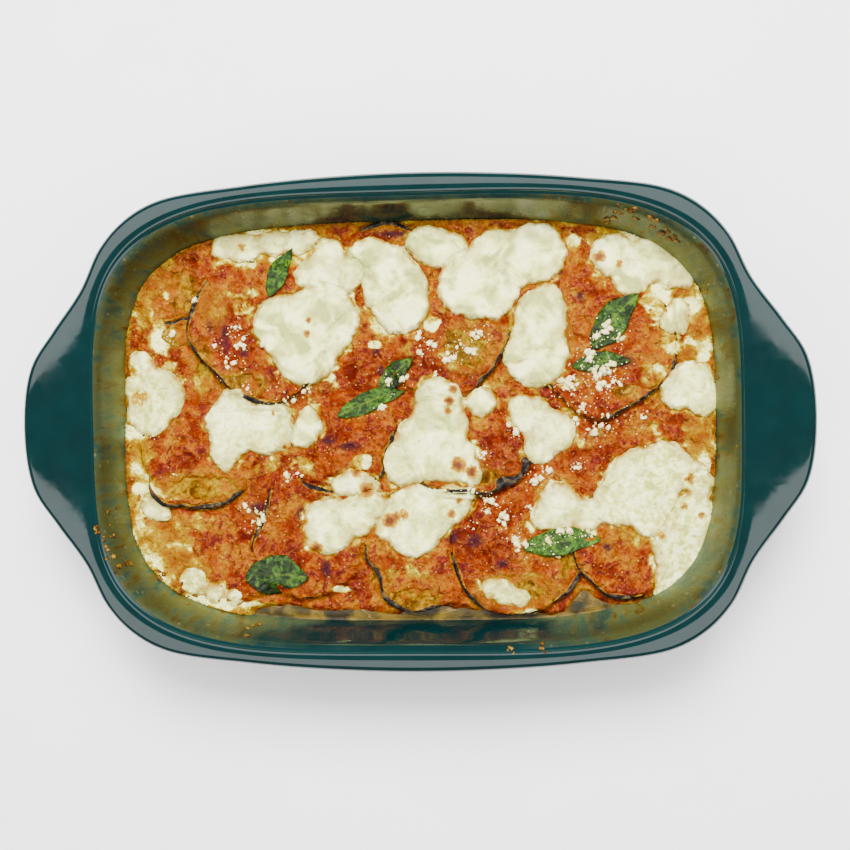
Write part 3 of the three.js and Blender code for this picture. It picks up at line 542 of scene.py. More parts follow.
def cheese_top(x, y, own, share=1.0):
    """Height of melted cheese over its smoothed bed, with a shallow fold where two cheeses touch."""
    rise = np.clip(np.maximum(any_cheese_inset(x, y), own) / CHEESE["rim"], 0, 1)
    rounding = (1 - (1 - rise) ** 2) ** 0.6
    swell = 0.5 * ripple(x, y, 15, 1.7) + 0.25 * ripple(x, y, 5, 5.2)
    body = share * (CHEESE["thickness"] - 0.7 + swell) * rounding
    fold = 0.2 * np.exp(-((np.maximum(own, 0) / 1.5) ** 2))
    marks = 0.6 * pit_depth(x, y) + 1.1 * fold_depth(x, y) + fold
    return smoothed(bed_top, x, y, CHEESE["reach"]) + 0.4 + body - marks * rounding


def pit_depth(x, y):
    """1 in the middle of a pit in the cheese, with a faint raised ring round it."""
    depth = np.zeros_like(x)
    for pit_x, pit_y, radius in PITS:
        away = np.hypot(x - pit_x, y - pit_y) / radius
        depth = depth + np.exp(-((away / 0.7) ** 2)) - 0.35 * np.exp(-(((away - 1.3) / 0.35) ** 2))
    return depth


def fold_depth(x, y):
    """Depth of the folds in the cheese, 0 away from them."""
    depth = np.zeros_like(x)
    for (x0, y0), (x1, y1), deep in FOLDS:
        length = math.hypot(x1 - x0, y1 - y0)
        along = ((x - x0) * (x1 - x0) + (y - y0) * (y1 - y0)) / length
        beyond = np.maximum(np.maximum(-along, along - length), 0)
        across = ((x - x0) * (y1 - y0) - (y - y0) * (x1 - x0)) / length
        bend = 1.2 * np.sin(along / length * math.pi)
        depth = np.maximum(depth, deep * np.exp(-(((across - bend) / 1.6) ** 2) - (beyond / 2.5) ** 2))
    return depth


def food_top(x, y):
    """Top of cheese, slice or sauce, for what lies on it."""
    inset = pools_inset(x, y)
    return np.maximum(bed_top(x, y) + SAUCE["depth"], np.where(inset > 0, cheese_top(x, y, inset), 0))


# Meshes

def place(bm, name, material, replaces=()):
    """Makes a finished piece of a bmesh and puts it on the part."""
    mesh = bpy.data.meshes.new(name)
    bm.to_mesh(mesh)
    bm.free()
    mesh.shade_smooth()
    mesh.materials.append(material)
    piece = bpy.data.objects.new(name, mesh)
    bpy.context.scene.collection.objects.link(piece)
    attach(piece, "root")
    if replaces:
        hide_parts(*replaces)
    return piece


def plan_of(verts):
    """The x and y of vertices, in millimetres."""
    places = np.array([v.co[:2] for v in verts]) / MM
    return places[:, 0], places[:, 1]


def mark(piece, name, values):
    """Keeps a value at each vertex for the material."""
    layer = piece.data.attributes.new(name, "FLOAT", "POINT")
    layer.data.foreach_set("value", np.asarray(values, np.float32))


def mesh_plan(piece):
    """The x and y of a piece's vertices, in millimetres."""
    count = len(piece.data.vertices)
    flat = np.zeros(count * 3, np.float32)
    piece.data.vertices.foreach_get("co", flat)
    places = flat.reshape(-1, 3) / MM
    return places[:, 0].astype(float), places[:, 1].astype(float)


def close_below(bm, bottom):
    """Carries a sheet's edge down to a bottom and closes it there."""
    edge = [e for e in bm.edges if e.is_boundary]
    made = bmesh.ops.extrude_edge_only(bm, edges=edge)["geom"]
    lower = [v for v in made if isinstance(v, bmesh.types.BMVert)]
    x, y = plan_of(lower)
    for vert, z in zip(lower, bottom(x, y)):
        vert.co.z = z * MM
    rim = [e for e in made if isinstance(e, bmesh.types.BMEdge)]
    bmesh.ops.holes_fill(bm, edges=rim, sides=0)
    bmesh.ops.recalc_face_normals(bm, faces=bm.faces)


def trimmed_grid(inset, box, cell):
    """A flat grid over a box, kept where the inset is above zero, its edge drawn to the outline."""
    x0, y0, x1, y1 = box
    middle = Matrix.Translation(((x0 + x1) / 2 * MM, (y0 + y1) / 2 * MM, 0))
    size = Matrix.Diagonal(((x1 - x0) * MM, (y1 - y0) * MM, 1, 1))
    bm = bmesh.new()
    bmesh.ops.create_grid(
        bm, x_segments=math.ceil((x1 - x0) / cell), y_segments=math.ceil((y1 - y0) / cell),
        size=0.5, matrix=middle @ size,
    )
    faces = list(bm.faces)
    centres = np.array([f.calc_center_median()[:2] for f in faces]) / MM
    outside = inset(centres[:, 0], centres[:, 1]) < 0
    bmesh.ops.delete(bm, geom=[f for f, out in zip(faces, outside) if out], context="FACES")
    while True:
        pinched = [v for v in bm.verts if sum(e.is_boundary for e in v.link_edges) > 2]
        if not pinched:
            break
        loose = {f for v in pinched for f in v.link_faces}
        bmesh.ops.delete(bm, geom=list(loose), context="FACES")
    edge = [v for v in bm.verts if v.is_boundary]
    for _ in range(3):
        x, y = plan_of(edge)
        here = inset(x, y)
        slope_x = (inset(x + 0.4, y) - inset(x - 0.4, y)) / 0.8
        slope_y = (inset(x, y + 0.4) - inset(x, y - 0.4)) / 0.8
        steep = np.maximum(slope_x**2 + slope_y**2, 0.3)
        move = np.clip(here / steep, -cell, cell)
        for vert, dx, dy in zip(edge, -move * slope_x, -move * slope_y):
            vert.co.x += dx * MM
            vert.co.y += dy * MM
    return bm


def set_heights(bm, height):
    """Lifts every vertex to the height that a function gives for its x and y."""
    verts = list(bm.verts)
    x, y = plan_of(verts)
    for vert, z in zip(verts, height(x, y)):
        vert.co.z = z * MM


# Materials

class Value:
    """What comes out of a node. Arithmetic with it adds the nodes that work it out."""

    def __init__(self, tree, socket):
        self.tree = tree
        self.socket = socket

    def __add__(self, other):
        return calculate("ADD", self, other)

    def __sub__(self, other):
        return calculate("SUBTRACT", self, other)

    def __rsub__(self, other):
        return calculate("SUBTRACT", other, self)

    def __mul__(self, other):
        return calculate("MULTIPLY", self, other)

    def __rtruediv__(self, other):
        return calculate("DIVIDE", other, self)

    def __lt__(self, other):
        return calculate("LESS_THAN", self, other)

    def __gt__(self, other):
        return calculate("GREATER_THAN", self, other)


def fill(tree, target, value):
    """Links a value to an input, or writes a plain one there."""
    if isinstance(value, Value):
        tree.links.new(value.socket, target)
    else:
        target.default_value = value


def add_node(tree, kind, output, inputs=None, **settings):
    """Adds a node, fills its inputs and gives the output asked for."""
    made = tree.nodes.new("ShaderNode" + kind)
    for key, value in settings.items():
        setattr(made, key, value)
    for key, value in (inputs or {}).items():
        fill(tree, made.inputs[key], value)
    return Value(tree, made.outputs[output])


def calculate(operation, first, second=0.0):
    """The result of a math node; at least one of its numbers is a Value."""
    tree = first.tree if isinstance(first, Value) else second.tree
    return add_node(tree, "Math", 0, {0: first, 1: second}, operation=operation)


def mix(first, second, share, blend="MIX"):
    """A colour with a share of a second one, which may be a plain red, green and blue."""
    if not isinstance(second, Value):
        second = (*second, 1)
    inputs = {0: share, 6: first, 7: second}
    return add_node(first.tree, "Mix", 2, inputs, data_type="RGBA", blend_type=blend)


def ramp(value, stops):
    """A colour for each value, from stops of a value and a colour."""
    made = add_node(value.tree, "ValToRGB", "Color", {"Fac": value})
    elements = made.socket.node.color_ramp.elements
    for element, (position, colour) in zip(elements, (stops[0], stops[-1])):
        element.position = position
        element.color = (*colour, 1)
    for position, colour in stops[1:-1]:
        elements.new(position).color = (*colour, 1)
    return made


def spread(value, low, high):
    """A value's range from low to high spread over 0 to 1."""
    inputs = {"Value": value, "From Min": low, "From Max": high}
    return add_node(value.tree, "MapRange", "Result", inputs, interpolation_type="SMOOTHSTEP")


def bump(height, depth_mm, before=None):
    """A relief of a given depth, on top of the relief before it."""
    inputs = {"Height": height, "Distance": depth_mm * MM, "Strength": 1.0}
    if before is not None:
        inputs["Normal"] = before
    return add_node(height.tree, "Bump", "Normal", inputs)


def attribute(tree, name):
    return add_node(tree, "Attribute", "Fac", attribute_name=name)


def millimetres(tree, stretch=(1, 1, 1)):
    inputs = {"Vector": add_node(tree, "TexCoord", "Object"), "Scale": tuple(s / MM for s in stretch)}
    return add_node(tree, "Mapping", "Vector", inputs)


def new_group(name, numbers, outputs):
    """A node group with its inputs as values and its outputs by name."""
    group = bpy.data.node_groups.new(name, "ShaderNodeTree")
    for label, number in numbers.items():
        socket = group.interface.new_socket(label, in_out="INPUT", socket_type="NodeSocketFloat")
        socket.default_value = number
    for label in outputs:
        group.interface.new_socket(label, in_out="OUTPUT", socket_type="NodeSocketFloat")
    entry = group.nodes.new("NodeGroupInput")
    given = {label: Value(group, entry.outputs[label]) for label in numbers}
    return group, given, group.nodes.new("NodeGroupOutput").inputs


def make_mottle():
    """Cloudy patches of a given size; the mask runs from 0 at Low to 1 at High."""
    numbers = {"Size": 4, "Detail": 3, "Low": 0.4, "High": 0.6, "Seed": 0, "Distortion": 0.4}
    group, given, results = new_group("mottle", numbers, ["Mask", "Height"])
    height = add_node(group, "TexNoise", "Fac", {
        "Vector": millimetres(group), "W": given["Seed"], "Scale": 1.0 / given["Size"],
        "Detail": given["Detail"], "Distortion": given["Distortion"],
    }, noise_dimensions="4D")
    fill(group, results["Mask"], spread(height, given["Low"], given["High"]))
    fill(group, results["Height"], height)
    return group


def make_grains():
    """Separate small round grains in a given amount of the cells."""
    group, given, results = new_group("grains", {"Size": 1, "Amount": 0.3, "Seed": 0}, ["Mask"])
    distance = add_node(group, "TexVoronoi", "Distance", {
        "Vector": millimetres(group), "W": given["Seed"], "Scale": 1.0 / given["Size"],
    }, voronoi_dimensions="4D")
    colour = Value(group, distance.socket.node.outputs["Color"])
    chosen = add_node(group, "SeparateColor", 0, {"Color": colour}) < given["Amount"]
    fill(group, results["Mask"], chosen * spread(distance, 0.55, 0.15))
    return group


MOTTLE = make_mottle()
GRAINS = make_grains()


def effect(tree, group, output, numbers):
    made = tree.nodes.new("ShaderNodeGroup")
    made.node_tree = group
    for label, number in numbers.items():
        made.inputs[label].default_value = number
    return Value(tree, made.outputs[output])


def clouds(tree, **numbers):
    return effect(tree, MOTTLE, "Height", numbers)


def patches(tree, **numbers):
    return effect(tree, MOTTLE, "Mask", numbers)


def grains(tree, **numbers):
    return effect(tree, GRAINS, "Mask", numbers)


def new_material(name):
    material = bpy.data.materials.new(name)
    material.use_nodes = True
    return material, material.node_tree


def surface(material, **sockets):
    """Fills the inputs of a material's shader."""
    shader = material.node_tree.nodes["Principled BSDF"]
    for label, value in sockets.items():
        fill(material.node_tree, shader.inputs[label.replace("_", " ")], value)
    return material


def make_glaze():
    """Deep teal glaze; baked-on film and stains inside above the food; bare clay under the foot."""
    material, tree = new_material("teal_glaze")
    teal = ramp(patches(tree, Size=18, Low=0.3, High=0.7), [
        (0, (0, 0.0105, 0.011)), (1, (0, 0.0135, 0.0138)),
    ])
    # Lighter teal at the rim's inner edge: thin glaze there, and partly a painted highlight
    teal = mix(teal, (0.002, 0.06, 0.062), attribute(tree, "edge") * 0.12)
    streaks = add_node(tree, "TexNoise", "Fac", {
        "Vector": millimetres(tree, (0.16, 0.16, 0.018)), "Scale": 1, "Detail": 5.0, "Roughness": 0.62,
    })
    stains = clouds(tree, Size=26, Detail=5, Distortion=0.8, Seed=3)
    film = ramp(streaks, [
        (0.3, (0.008, 0.026, 0.018)), (0.42, (0.022, 0.041, 0.021)), (0.5, (0.04, 0.048, 0.016)),
        (0.58, (0.046, 0.037, 0.007)), (0.7, (0.026, 0.01, 0.002)),
    ])
    thickness = attribute(tree, "film")
    film = mix(film, (0.04, 0.042, 0.01), spread(stains, 0.5, 0.62))
    film = mix(film, (0.024, 0.046, 0.026), spread(thickness, 0.62, 0.42))
    film = mix(film, (0.016, 0.03, 0.018), spread(stains, 0.46, 0.36))
    # Painted light and shade: the film is painted brighter low on the walls, where the corner with the
    # food lies in shade, and darker towards the rim
    height = add_node(tree, "SeparateXYZ", "Z", {"Vector": millimetres(tree)})
    painted_light_by_height = ramp(spread(height, 40, 62), [(0, (2.1, 2.1, 1.9)), (1, (0.72, 0.8, 0.9))])
    film = mix(film, painted_light_by_height, 1, "MULTIPLY")
    film = mix(film, (0.14, 0.13, 0.06), grains(tree, Size=2.2, Amount=0.08, Seed=2) * 0.5)
    worn = spread(thickness + stains * 0.5, 0.62, 0.92)
    coverage = worn * (thickness > 0.02)
    clay = ramp(patches(tree, Size=1.6, Detail=5), [(0, (0.3, 0.22, 0.13)), (1, (0.42, 0.32, 0.2))])
    bare_clay = attribute(tree, "clay")
    smear = patches(tree, Size=9, Detail=4, Seed=5)
    wave = clouds(tree, Size=7, Detail=1, Seed=1)
    return surface(
        material, IOR=1.5, Base_Color=mix(mix(teal, film, coverage), clay, bare_clay),
        Roughness=coverage * 0.26 + bare_clay * 0.6 + smear * 0.04 + 0.05,
        Specular_IOR_Level=0.5 - coverage * 0.25, Normal=bump(streaks * coverage, 0.8, bump(wave, 0.02)),
    )


def make_sauce_material():
    """Chunky tomato sauce: oily orange pulp, darker tomato pieces, thin veils of cheese, pale grains."""
    material, tree = new_material("tomato_sauce")
    cream, milk, gold, veil, orange, red, dark = [attribute(tree, name) for name in SAUCE_PLACES]
    warm = orange - red
    pulp = clouds(tree, Size=12, Detail=5, Distortion=0.8, Seed=2) + warm * 0.11
    colour = ramp(pulp, [
        (0.36, (0.08, 0.004, 0)), (0.43, (0.125, 0.01, 0)), (0.48, (0.165, 0.02, 0)),
        (0.53, (0.2, 0.034, 0)), (0.58, (0.225, 0.055, 0)), (0.64, (0.25, 0.085, 0)),
    ])
    fine = clouds(tree, Size=1.8, Detail=4, Distortion=0.5, Seed=8)
    shade = ramp(fine, [(0.38, (0.45, 0.34, 0.3)), (0.5, (1, 1, 1)), (0.62, (1.25, 1.6, 1))])
    colour = mix(colour, shade, 0.7, "MULTIPLY")
    pieces = clouds(tree, Size=6.5, Detail=2.5, Distortion=1.0, Seed=7) - warm * 0.025
    inside = spread(pieces, 0.545, 0.6)
    # Painted highlight: a lighter band on the slopes round the raised tomato pieces
    painted_highlight_skirt = spread(pieces, 0.49, 0.54) - inside
    colour = mix(colour, (0.3, 0.095, 0.012), painted_highlight_skirt * 0.3)
    tomato = ramp(fine, [
        (0.38, (0.055, 0.005, 0.005)), (0.5, (0.11, 0.008, 0.004)), (0.62, (0.2, 0.02, 0.008)),
    ])
    colour = mix(colour, tomato, inside * 0.85)
    colour = mix(colour, (0.235, 0.103, 0), gold * 0.75)
    colour = mix(colour, (0.035, 0.006, 0.01), dark)
    # Darker in the hollows between the lumps: partly oil gathered there, partly painted shade
    colour = mix(colour, (0.1, 0.012, 0), attribute(tree, "hollow") * 0.35)
    share = cream
    for other in (milk, gold * 0.95, veil * 0.55):
        share = calculate("MAXIMUM", share, other)
    torn = (clouds(tree, Size=6, Detail=5, Distortion=0.6, Seed=13) - 0.5) * 2.2
    melted = spread(share + torn, 0.22, 0.66) * spread(share, 0, 0.15)
    tone = clouds(tree, Size=9, Detail=5, Distortion=0.7, Seed=9)
    tone = tone + milk * 0.18 + cream * 0.1 - gold * 0.22 - (1.0 - melted) * 0.16
    dairy = ramp(tone + (fine - 0.5) * 0.3, [
        (0.28, (0.17, 0.042, 0)), (0.36, (0.21, 0.074, 0)), (0.43, (0.23, 0.106, 0)),
        (0.49, (0.27, 0.15, 0)), (0.54, (0.38, 0.26, 0)), (0.59, (0.6, 0.53, 0.09)),
        (0.65, (0.88, 0.87, 0.32)),
    ])
    colour = mix(colour, dairy, melted)
    # Painted glints on the tops of the fine lumps
    colour = mix(colour, (0.34, 0.15, 0), spread(fine, 0.59, 0.66) * 0.3)
    pale = grains(tree, Size=1.2, Amount=0.07, Seed=3)
    colour = mix(colour, (0.46, 0.3, 0.06), pale * 0.7)
    speckle = patches(tree, Size=1.3, Detail=3, Low=0.42, High=0.6, Seed=4)
    colour = mix(colour, (0.03, 0.022, 0.003), attribute(tree, "crust") * speckle)
    lumps = bump(fine, 1.6, bump(pieces, 4.0))
    return surface(
        material, Base_Color=colour, Roughness=speckle * 0.25 + 0.3, Specular_IOR_Level=0.03,
        Coat_Weight=0.08, Coat_Roughness=0.04, Normal=bump(pale, 0.25, lumps),
    )


def make_eggplant_material():
    """Fried eggplant: fibrous golden flesh with seeds, and a nearly black peel."""
    material, tree = new_material("fried_eggplant")
    fibre = clouds(tree, Size=6, Detail=7, Distortion=1.2)
    brown = ramp(fibre, [
        (0.36, (0.045, 0.012, 0)), (0.46, (0.11, 0.036, 0)), (0.54, (0.18, 0.07, 0)),
        (0.64, (0.26, 0.125, 0.004)),
    ])
    golden = ramp(fibre, [
        (0.36, (0.05, 0.021, 0)), (0.46, (0.11, 0.056, 0)), (0.54, (0.165, 0.092, 0)),
        (0.64, (0.23, 0.15, 0)),
    ])
    fine = clouds(tree, Size=1.6, Detail=4, Seed=8)
    shade = ramp(fine, [(0.38, (0.45, 0.4, 0.4)), (0.5, (1, 1, 1)), (0.62, (1.25, 1.4, 1.2))])
    colour = mix(mix(brown, golden, attribute(tree, "tone")), shade, 0.8, "MULTIPLY")
    seeds = grains(tree, Size=1.8, Amount=0.16, Seed=4)
    colour = mix(colour, (0.4, 0.27, 0.04), seeds * 0.45)
    oily = patches(tree, Size=8, Detail=4, Low=0.5, High=0.62, Seed=3)
    colour = mix(colour, (0.24, 0.045, 0), oily * 0.6)
    peel = ramp(clouds(tree, Size=3.0, Detail=4, Seed=5), [
        (0.4, (0.005, 0.004, 0.004)), (0.5, (0.015, 0.012, 0.011)), (0.58, (0.038, 0.03, 0.02)),
        (0.66, (0.1, 0.065, 0.02)),
    ])
    skin = spread(attribute(tree, "skin"), 0.35, 0.65)
    return surface(
        material, Base_Color=mix(colour, peel, skin), Roughness=0.4 - skin * 0.18, Specular_IOR_Level=0.03,
        Coat_Weight=0.08, Coat_Roughness=0.05, Normal=bump(seeds, 0.25, bump(fibre, 1.6)),
    )


def make_mozzarella_material():
    """Melted mozzarella: white where thick, greener where thin, with painted shade in folds and pits, warm
    at its edges, toasted in spots.
    """
    material, tree = new_material("melted_mozzarella")
    cloud = clouds(tree, Size=12, Detail=3.5, Distortion=0.7, Seed=1)
    # The tone drops as painted shade in the folds, and also where the cheese is thin and at random
    colour = ramp(cloud - attribute(tree, "hollow") * 0.12, [
        (0.41, (0.36, 0.38, 0.1)), (0.47, (0.56, 0.58, 0.17)), (0.52, (0.76, 0.78, 0.26)),
        (0.56, (0.9, 0.91, 0.36)), (0.62, (0.95, 0.95, 0.48)),
    ])
    curds = clouds(tree, Size=3.4, Detail=6, Distortion=0.6, Seed=3)
    curdled = ramp(curds, [
        (0.4, (0.46, 0.47, 0.09)), (0.48, (0.68, 0.69, 0.18)), (0.53, (0.9, 0.9, 0.36)),
        (0.6, (0.95, 0.94, 0.5)),
    ])
    grain = attribute(tree, "grain")
    colour = mix(colour, curdled, grain * 0.8)
    inset = attribute(tree, "inset")
    clouded = patches(tree, Size=8, Detail=4, Low=0.44, High=0.58, Seed=25)
    colour = mix(colour, (0.4, 0.34, 0.1), spread(inset, 9.0, 1.5) * clouded * 0.65)
    frayed = patches(tree, Size=5, Detail=5, Low=0.4, High=0.56, Seed=5)
    colour = mix(colour, (0.3, 0.15, 0), spread(inset, 3.0, 0.2) * frayed)
    stained = patches(tree, Size=8, Detail=5, Low=0.58, High=0.68, Seed=17)
    colour = mix(colour, (0.62, 0.42, 0.06), stained * 0.25)
    toasted = attribute(tree, "toast")
    uneven = (clouds(tree, Size=1.8, Detail=4, Seed=7) - 0.5) * 1.3
    toast = toasted + uneven * spread(toasted, 0.02, 0.3)
    golden = ramp(toast, [
        (0.1, (0.52, 0.36, 0)), (0.35, (0.32, 0.16, 0)), (0.62, (0.2, 0.066, 0)),
        (0.95, (0.1, 0.018, 0)),
    ])
    colour = mix(colour, golden, spread(toast, 0.06, 0.3))
    # Painted shade in the pits
    colour = mix(colour, (0.24, 0.24, 0.06), attribute(tree, "pit") * 0.6)
    relief = bump(clouds(tree, Size=6, Detail=3, Distortion=0.6, Seed=27), 2.4)
    return surface(
        material, Base_Color=colour, Roughness=curds * 0.4 + 0.2, Specular_IOR_Level=0.25,
        Coat_Weight=0.15, Coat_Roughness=0.12, Subsurface_Weight=0.25, Subsurface_Scale=0.6,
        Subsurface_Radius=(0.004, 0.0035, 0.002), Normal=bump(curds * grain, 1.6, relief),
    )


def make_basil_material():
    """Wilted basil: dark oily green, with lighter veins and blisters."""
    material, tree = new_material("wilted_basil")
    cloud = clouds(tree, Size=3.6, Detail=5, Distortion=1.2, Seed=2)
    dark = ramp(cloud, [
        (0.38, (0.002, 0.004, 0.001)), (0.5, (0.006, 0.015, 0.001)), (0.58, (0.018, 0.045, 0.002)),
        (0.68, (0.05, 0.11, 0.004)),
    ])
    fresh = ramp(cloud, [
        (0.38, (0.006, 0.018, 0.001)), (0.48, (0.018, 0.055, 0.002)), (0.56, (0.034, 0.1, 0.003)),
        (0.66, (0.075, 0.17, 0.005)),
    ])
    colour = mix(dark, fresh, attribute(tree, "fresh"))
    vein = attribute(tree, "vein") * patches(tree, Size=6, Low=0.4, High=0.6, Seed=9)
    return surface(
        material, Base_Color=mix(colour, (0.12, 0.17, 0.012), vein * 0.5), Roughness=0.4,
        Specular_IOR_Level=0.2, Coat_Weight=0.2, Coat_Roughness=0.15, Normal=bump(cloud, 1.6),
    )


def make_oil_material():
    """Dark amber oil with a few drawn-out pale lines, painted reflections of light on its ripples."""
    material, tree = new_material("olive_oil")
    cloud = clouds(tree, Size=11, Detail=4, Distortion=0.6)
    colour = ramp(cloud, [
        (0.36, (0.01, 0.008, 0.001)), (0.46, (0.03, 0.021, 0.002)), (0.54, (0.068, 0.045, 0.004)),
        (0.62, (0.12, 0.072, 0.005)),
    ])
    level = add_node(tree, "TexNoise", "Fac", {
        "Vector": millimetres(tree, (0.014, 0.1, 0.2)), "Scale": 1, "Detail": 1, "Distortion": 0.3,
    })
    bands = calculate("FRACT", level * 16.0)
    broken = patches(tree, Size=9, Detail=3, Low=0.46, High=0.56, Seed=4)
    # Painted reflections: pale wavy lines where light glints on the ripples of the oil, also raised a
    # little
    painted_reflection_line = spread(bands, 0.36, 0.5) * spread(bands, 0.64, 0.5) * broken
    return surface(
        material, Base_Color=mix(colour, (0.2, 0.13, 0.05), painted_reflection_line * 0.6), Roughness=0.25,
        Specular_IOR_Level=0.2, Coat_Weight=0.1, Coat_Roughness=0.03,
        Normal=bump(cloud, 0.5, bump(painted_reflection_line, 0.4)),
    )


def make_crumb_material():
    """Hard grated cheese: off-white, a little toasted."""
    material, tree = new_material("grated_hard_cheese")
    colour = ramp(clouds(tree, Size=2.5, Detail=3, Seed=3), [
        (0.3, (0.6, 0.4, 0.1)), (0.45, (0.78, 0.66, 0.28)), (0.65, (0.88, 0.82, 0.48)),
    ])
    return surface(
        material, Base_Color=colour, Roughness=0.5, Subsurface_Weight=0.2, Subsurface_Scale=0.5,
        Subsurface_Radius=(0.002, 0.0016, 0.001),
        Normal=bump(clouds(tree, Size=0.5, Detail=3, Seed=5), 0.2),
    )


def make_flake_material():
    """Baked crust: golden to dark brown, brittle."""
    material, tree = new_material("baked_crust")
    colour = ramp(clouds(tree, Size=2.2, Detail=5, Seed=3), [
        (0.38, (0.03, 0.009, 0.001)), (0.48, (0.1, 0.034, 0.001)), (0.56, (0.18, 0.08, 0.002)),
        (0.66, (0.28, 0.19, 0.03)),
    ])
    return surface(
        material, Base_Color=colour, Roughness=0.45, Specular_IOR_Level=0.3,
        Normal=bump(clouds(tree, Size=0.6, Detail=3, Seed=5), 0.3),
    )


def make_floor_material():
    material, tree = new_material("pale_floor")
    colour = ramp(patches(tree, Size=60, Detail=2), [(0, (0.96, 0.96, 0.96)), (1, (0.98, 0.98, 0.98))])
    return surface(material, Base_Color=colour, Roughness=0.7)


# The baking dish

def dish_rings(angle):
    """The CAD's rings from the middle of the floor, up the wall, over the rim and down to the foot."""
    top = DISH["height"]
    a, b = DISH["length"] / 2, DISH["width"] / 2
    foot_a, foot_b = FOOT["length"] / 2, FOOT["width"] / 2
    inner, outer = rounded_reach(a, b, angle), rim_reach(angle)

    def ring(reach, z):
        return np.stack([reach * np.cos(angle), reach * np.sin(angle), z + 0 * angle], axis=-1)

    def rim_ring(reach, z):
        """A ring of the rim, lowered towards the tips and the sides of the handles."""
        along = np.minimum(np.abs(reach * np.sin(angle)) / RIM["half_handle"], 1)
        outward = smooth_step(RIM["droop_from"], RIM["droop_to"], reach - inner)
        rolled = RIM["handle_roll"] * (np.maximum(reach - inner, 0) / RIM["roll_width"]) ** 2
        return ring(reach, z - RIM["handle_droop"] * outward * along**2 - rolled)

    def rim_top(reach):
        """A nearly flat top, a hair lower outside, sloped a little in and rolled over at both edges."""
        rolls = RIM["inner_roll"] * np.exp(-(reach - inner + 1) / RIM["inner_radius"])
        rolls = rolls + RIM["outer_roll"] * np.exp(-(outer - reach) / RIM["outer_radius"])
        rolls = rolls + RIM["slope"] * np.maximum(RIM["slope_width"] - (reach - inner), 0)
        return rim_ring(reach, top - RIM["fall"] * np.clip(reach - inner, 0, RIM["fall_width"]) - rolls)

    inset_x, inset_y = DISH["wall_inset"]
    # Half sizes and height of each ring
    walls = [
        (a - 30, b - 30, DISH["floor"]), (a - 20.5, b - 21, 9.6),
        (a - inset_x, b - inset_y, DISH["wall_foot"]), (a - 10.3, b - 10.8, DISH["food_level"]),
        (a - 6.9, b - 6.9, 57), (a - 4.2, b - 4.2, top - 4.6), (a - 2.6, b - 2.6, top - 2.8),
    ]
    rings = [ring(rounded_reach(*sizes, angle), z) for *sizes, z in walls]
    rings += [rim_top(inner + out) for out in (-1.0, -0.5, 0, 0.8, 1.8, 2.8, 3.8)]
    rings.append(rim_top((inner + outer) / 2))
    rings += [rim_top(outer - back) for back in (3.4, 2.5, 1.8, 1.1, 0.5)]
    side = ((0.05, 2.8), (0, 4.4), (0.4, 6.3), (1.9, 8))
    rings += [rim_ring(outer - back, top - down) for back, down in side]
    outside = [
        (a + 1.6, b + 1.6, top - 11.5), (a - 7.2, b - 8, 26), (a - 12, b - 13, 8),
        (foot_a + 1.5, foot_b + 1.5, 2.6), (foot_a - 1, foot_b - 1, 0.2),
    ]
    under = [(FOOT["ring"] / 2, 0), (FOOT["ring"], 0.2), (FOOT["ring"] + 1.5, FOOT["recess"])]
    outside += [(foot_a - inset, foot_b - inset, z) for inset, z in under]
    return rings + [ring(rounded_reach(*sizes, angle), z) for *sizes, z in outside], len(walls)


def make_dish():
    columns = DISH["columns"]
    angle = np.arange(columns) * 2 * math.pi / columns
    stations, wall_count = dish_rings(angle)
    steps = 4
    rings = curve_through(stations, steps)
    bm = bmesh.new()
    film = bm.verts.layers.float.new("film")
    clay = bm.verts.layers.float.new("clay")
    # The rim's inner edge is painted lighter: thin glaze there, and partly a painted highlight
    thin_glaze_highlight = bm.verts.layers.float.new("edge")
    bmesh.ops.create_circle(bm, cap_ends=True, segments=columns, radius=1)
    verts, edges = list(bm.verts), list(bm.edges)
    film_end = (wall_count - 0.6) * steps
    for number, ring in enumerate(rings):
        if number > 0:
            made = bmesh.ops.extrude_edge_only(bm, edges=edges)["geom"]
            verts = [v for v in made if isinstance(v, bmesh.types.BMVert)]
            edges = [e for e in made if isinstance(e, bmesh.types.BMEdge) and e.is_boundary]
        for vert in verts:
            column = round(math.atan2(vert.co.y, vert.co.x) / (2 * math.pi) * columns) % columns
            vert.co = Vector(ring[column]) * MM
            on_long_wall = abs(vert.co.y) / (abs(vert.co.y) + 0.55 * abs(vert.co.x) + 1e-9)
            less = FILM["less_far"] if vert.co.y > 0 else FILM["less_near"]
            amount = FILM["amount"] - less * float(smooth_step(0.5, 0.9, on_long_wall))
            vert[film] = (number < film_end) * amount
            vert[clay] = float(number >= len(rings) - 2 * steps - 1)
            vert[thin_glaze_highlight] = float((wall_count - 0.5) * steps < number < (wall_count + 1.2) * steps)
    bmesh.ops.contextual_create(bm, geom=edges)
    bmesh.ops.recalc_face_normals(bm, faces=bm.faces)
    return place(bm, "baking_dish", make_glaze(), ["dish"])


# The food

def bare_share(x, y):
    """1 where a slice lies bare, 0 under sauce, with a ragged edge between."""
    ragged = 0.34 * ripple(x, y, 7, 2.2) + 0.26 * ripple(x, y, 2.6, 6.4)
    return smooth_step(0.36, 0.66, blobs(x, y, BARE, 0.8) + ragged * (blobs(x, y, BARE, 1.0) > 0))


def skin_share(x, y):
    """1 along the arcs where skin shows."""
    share = np.zeros_like(x)
    for name, piece in SLICES.items():
        width = skin_width(piece, x, y)
        inset = slice_inset(piece, x, y)
        near = smooth_step(-2.6, -0.4, inset) * (1 - smooth_step(0, 1.8, inset - width))
        visible = 1 - covered_by_later(name, x, y)
        share = np.maximum(share, near * (width > 0.2) * visible)
    return share


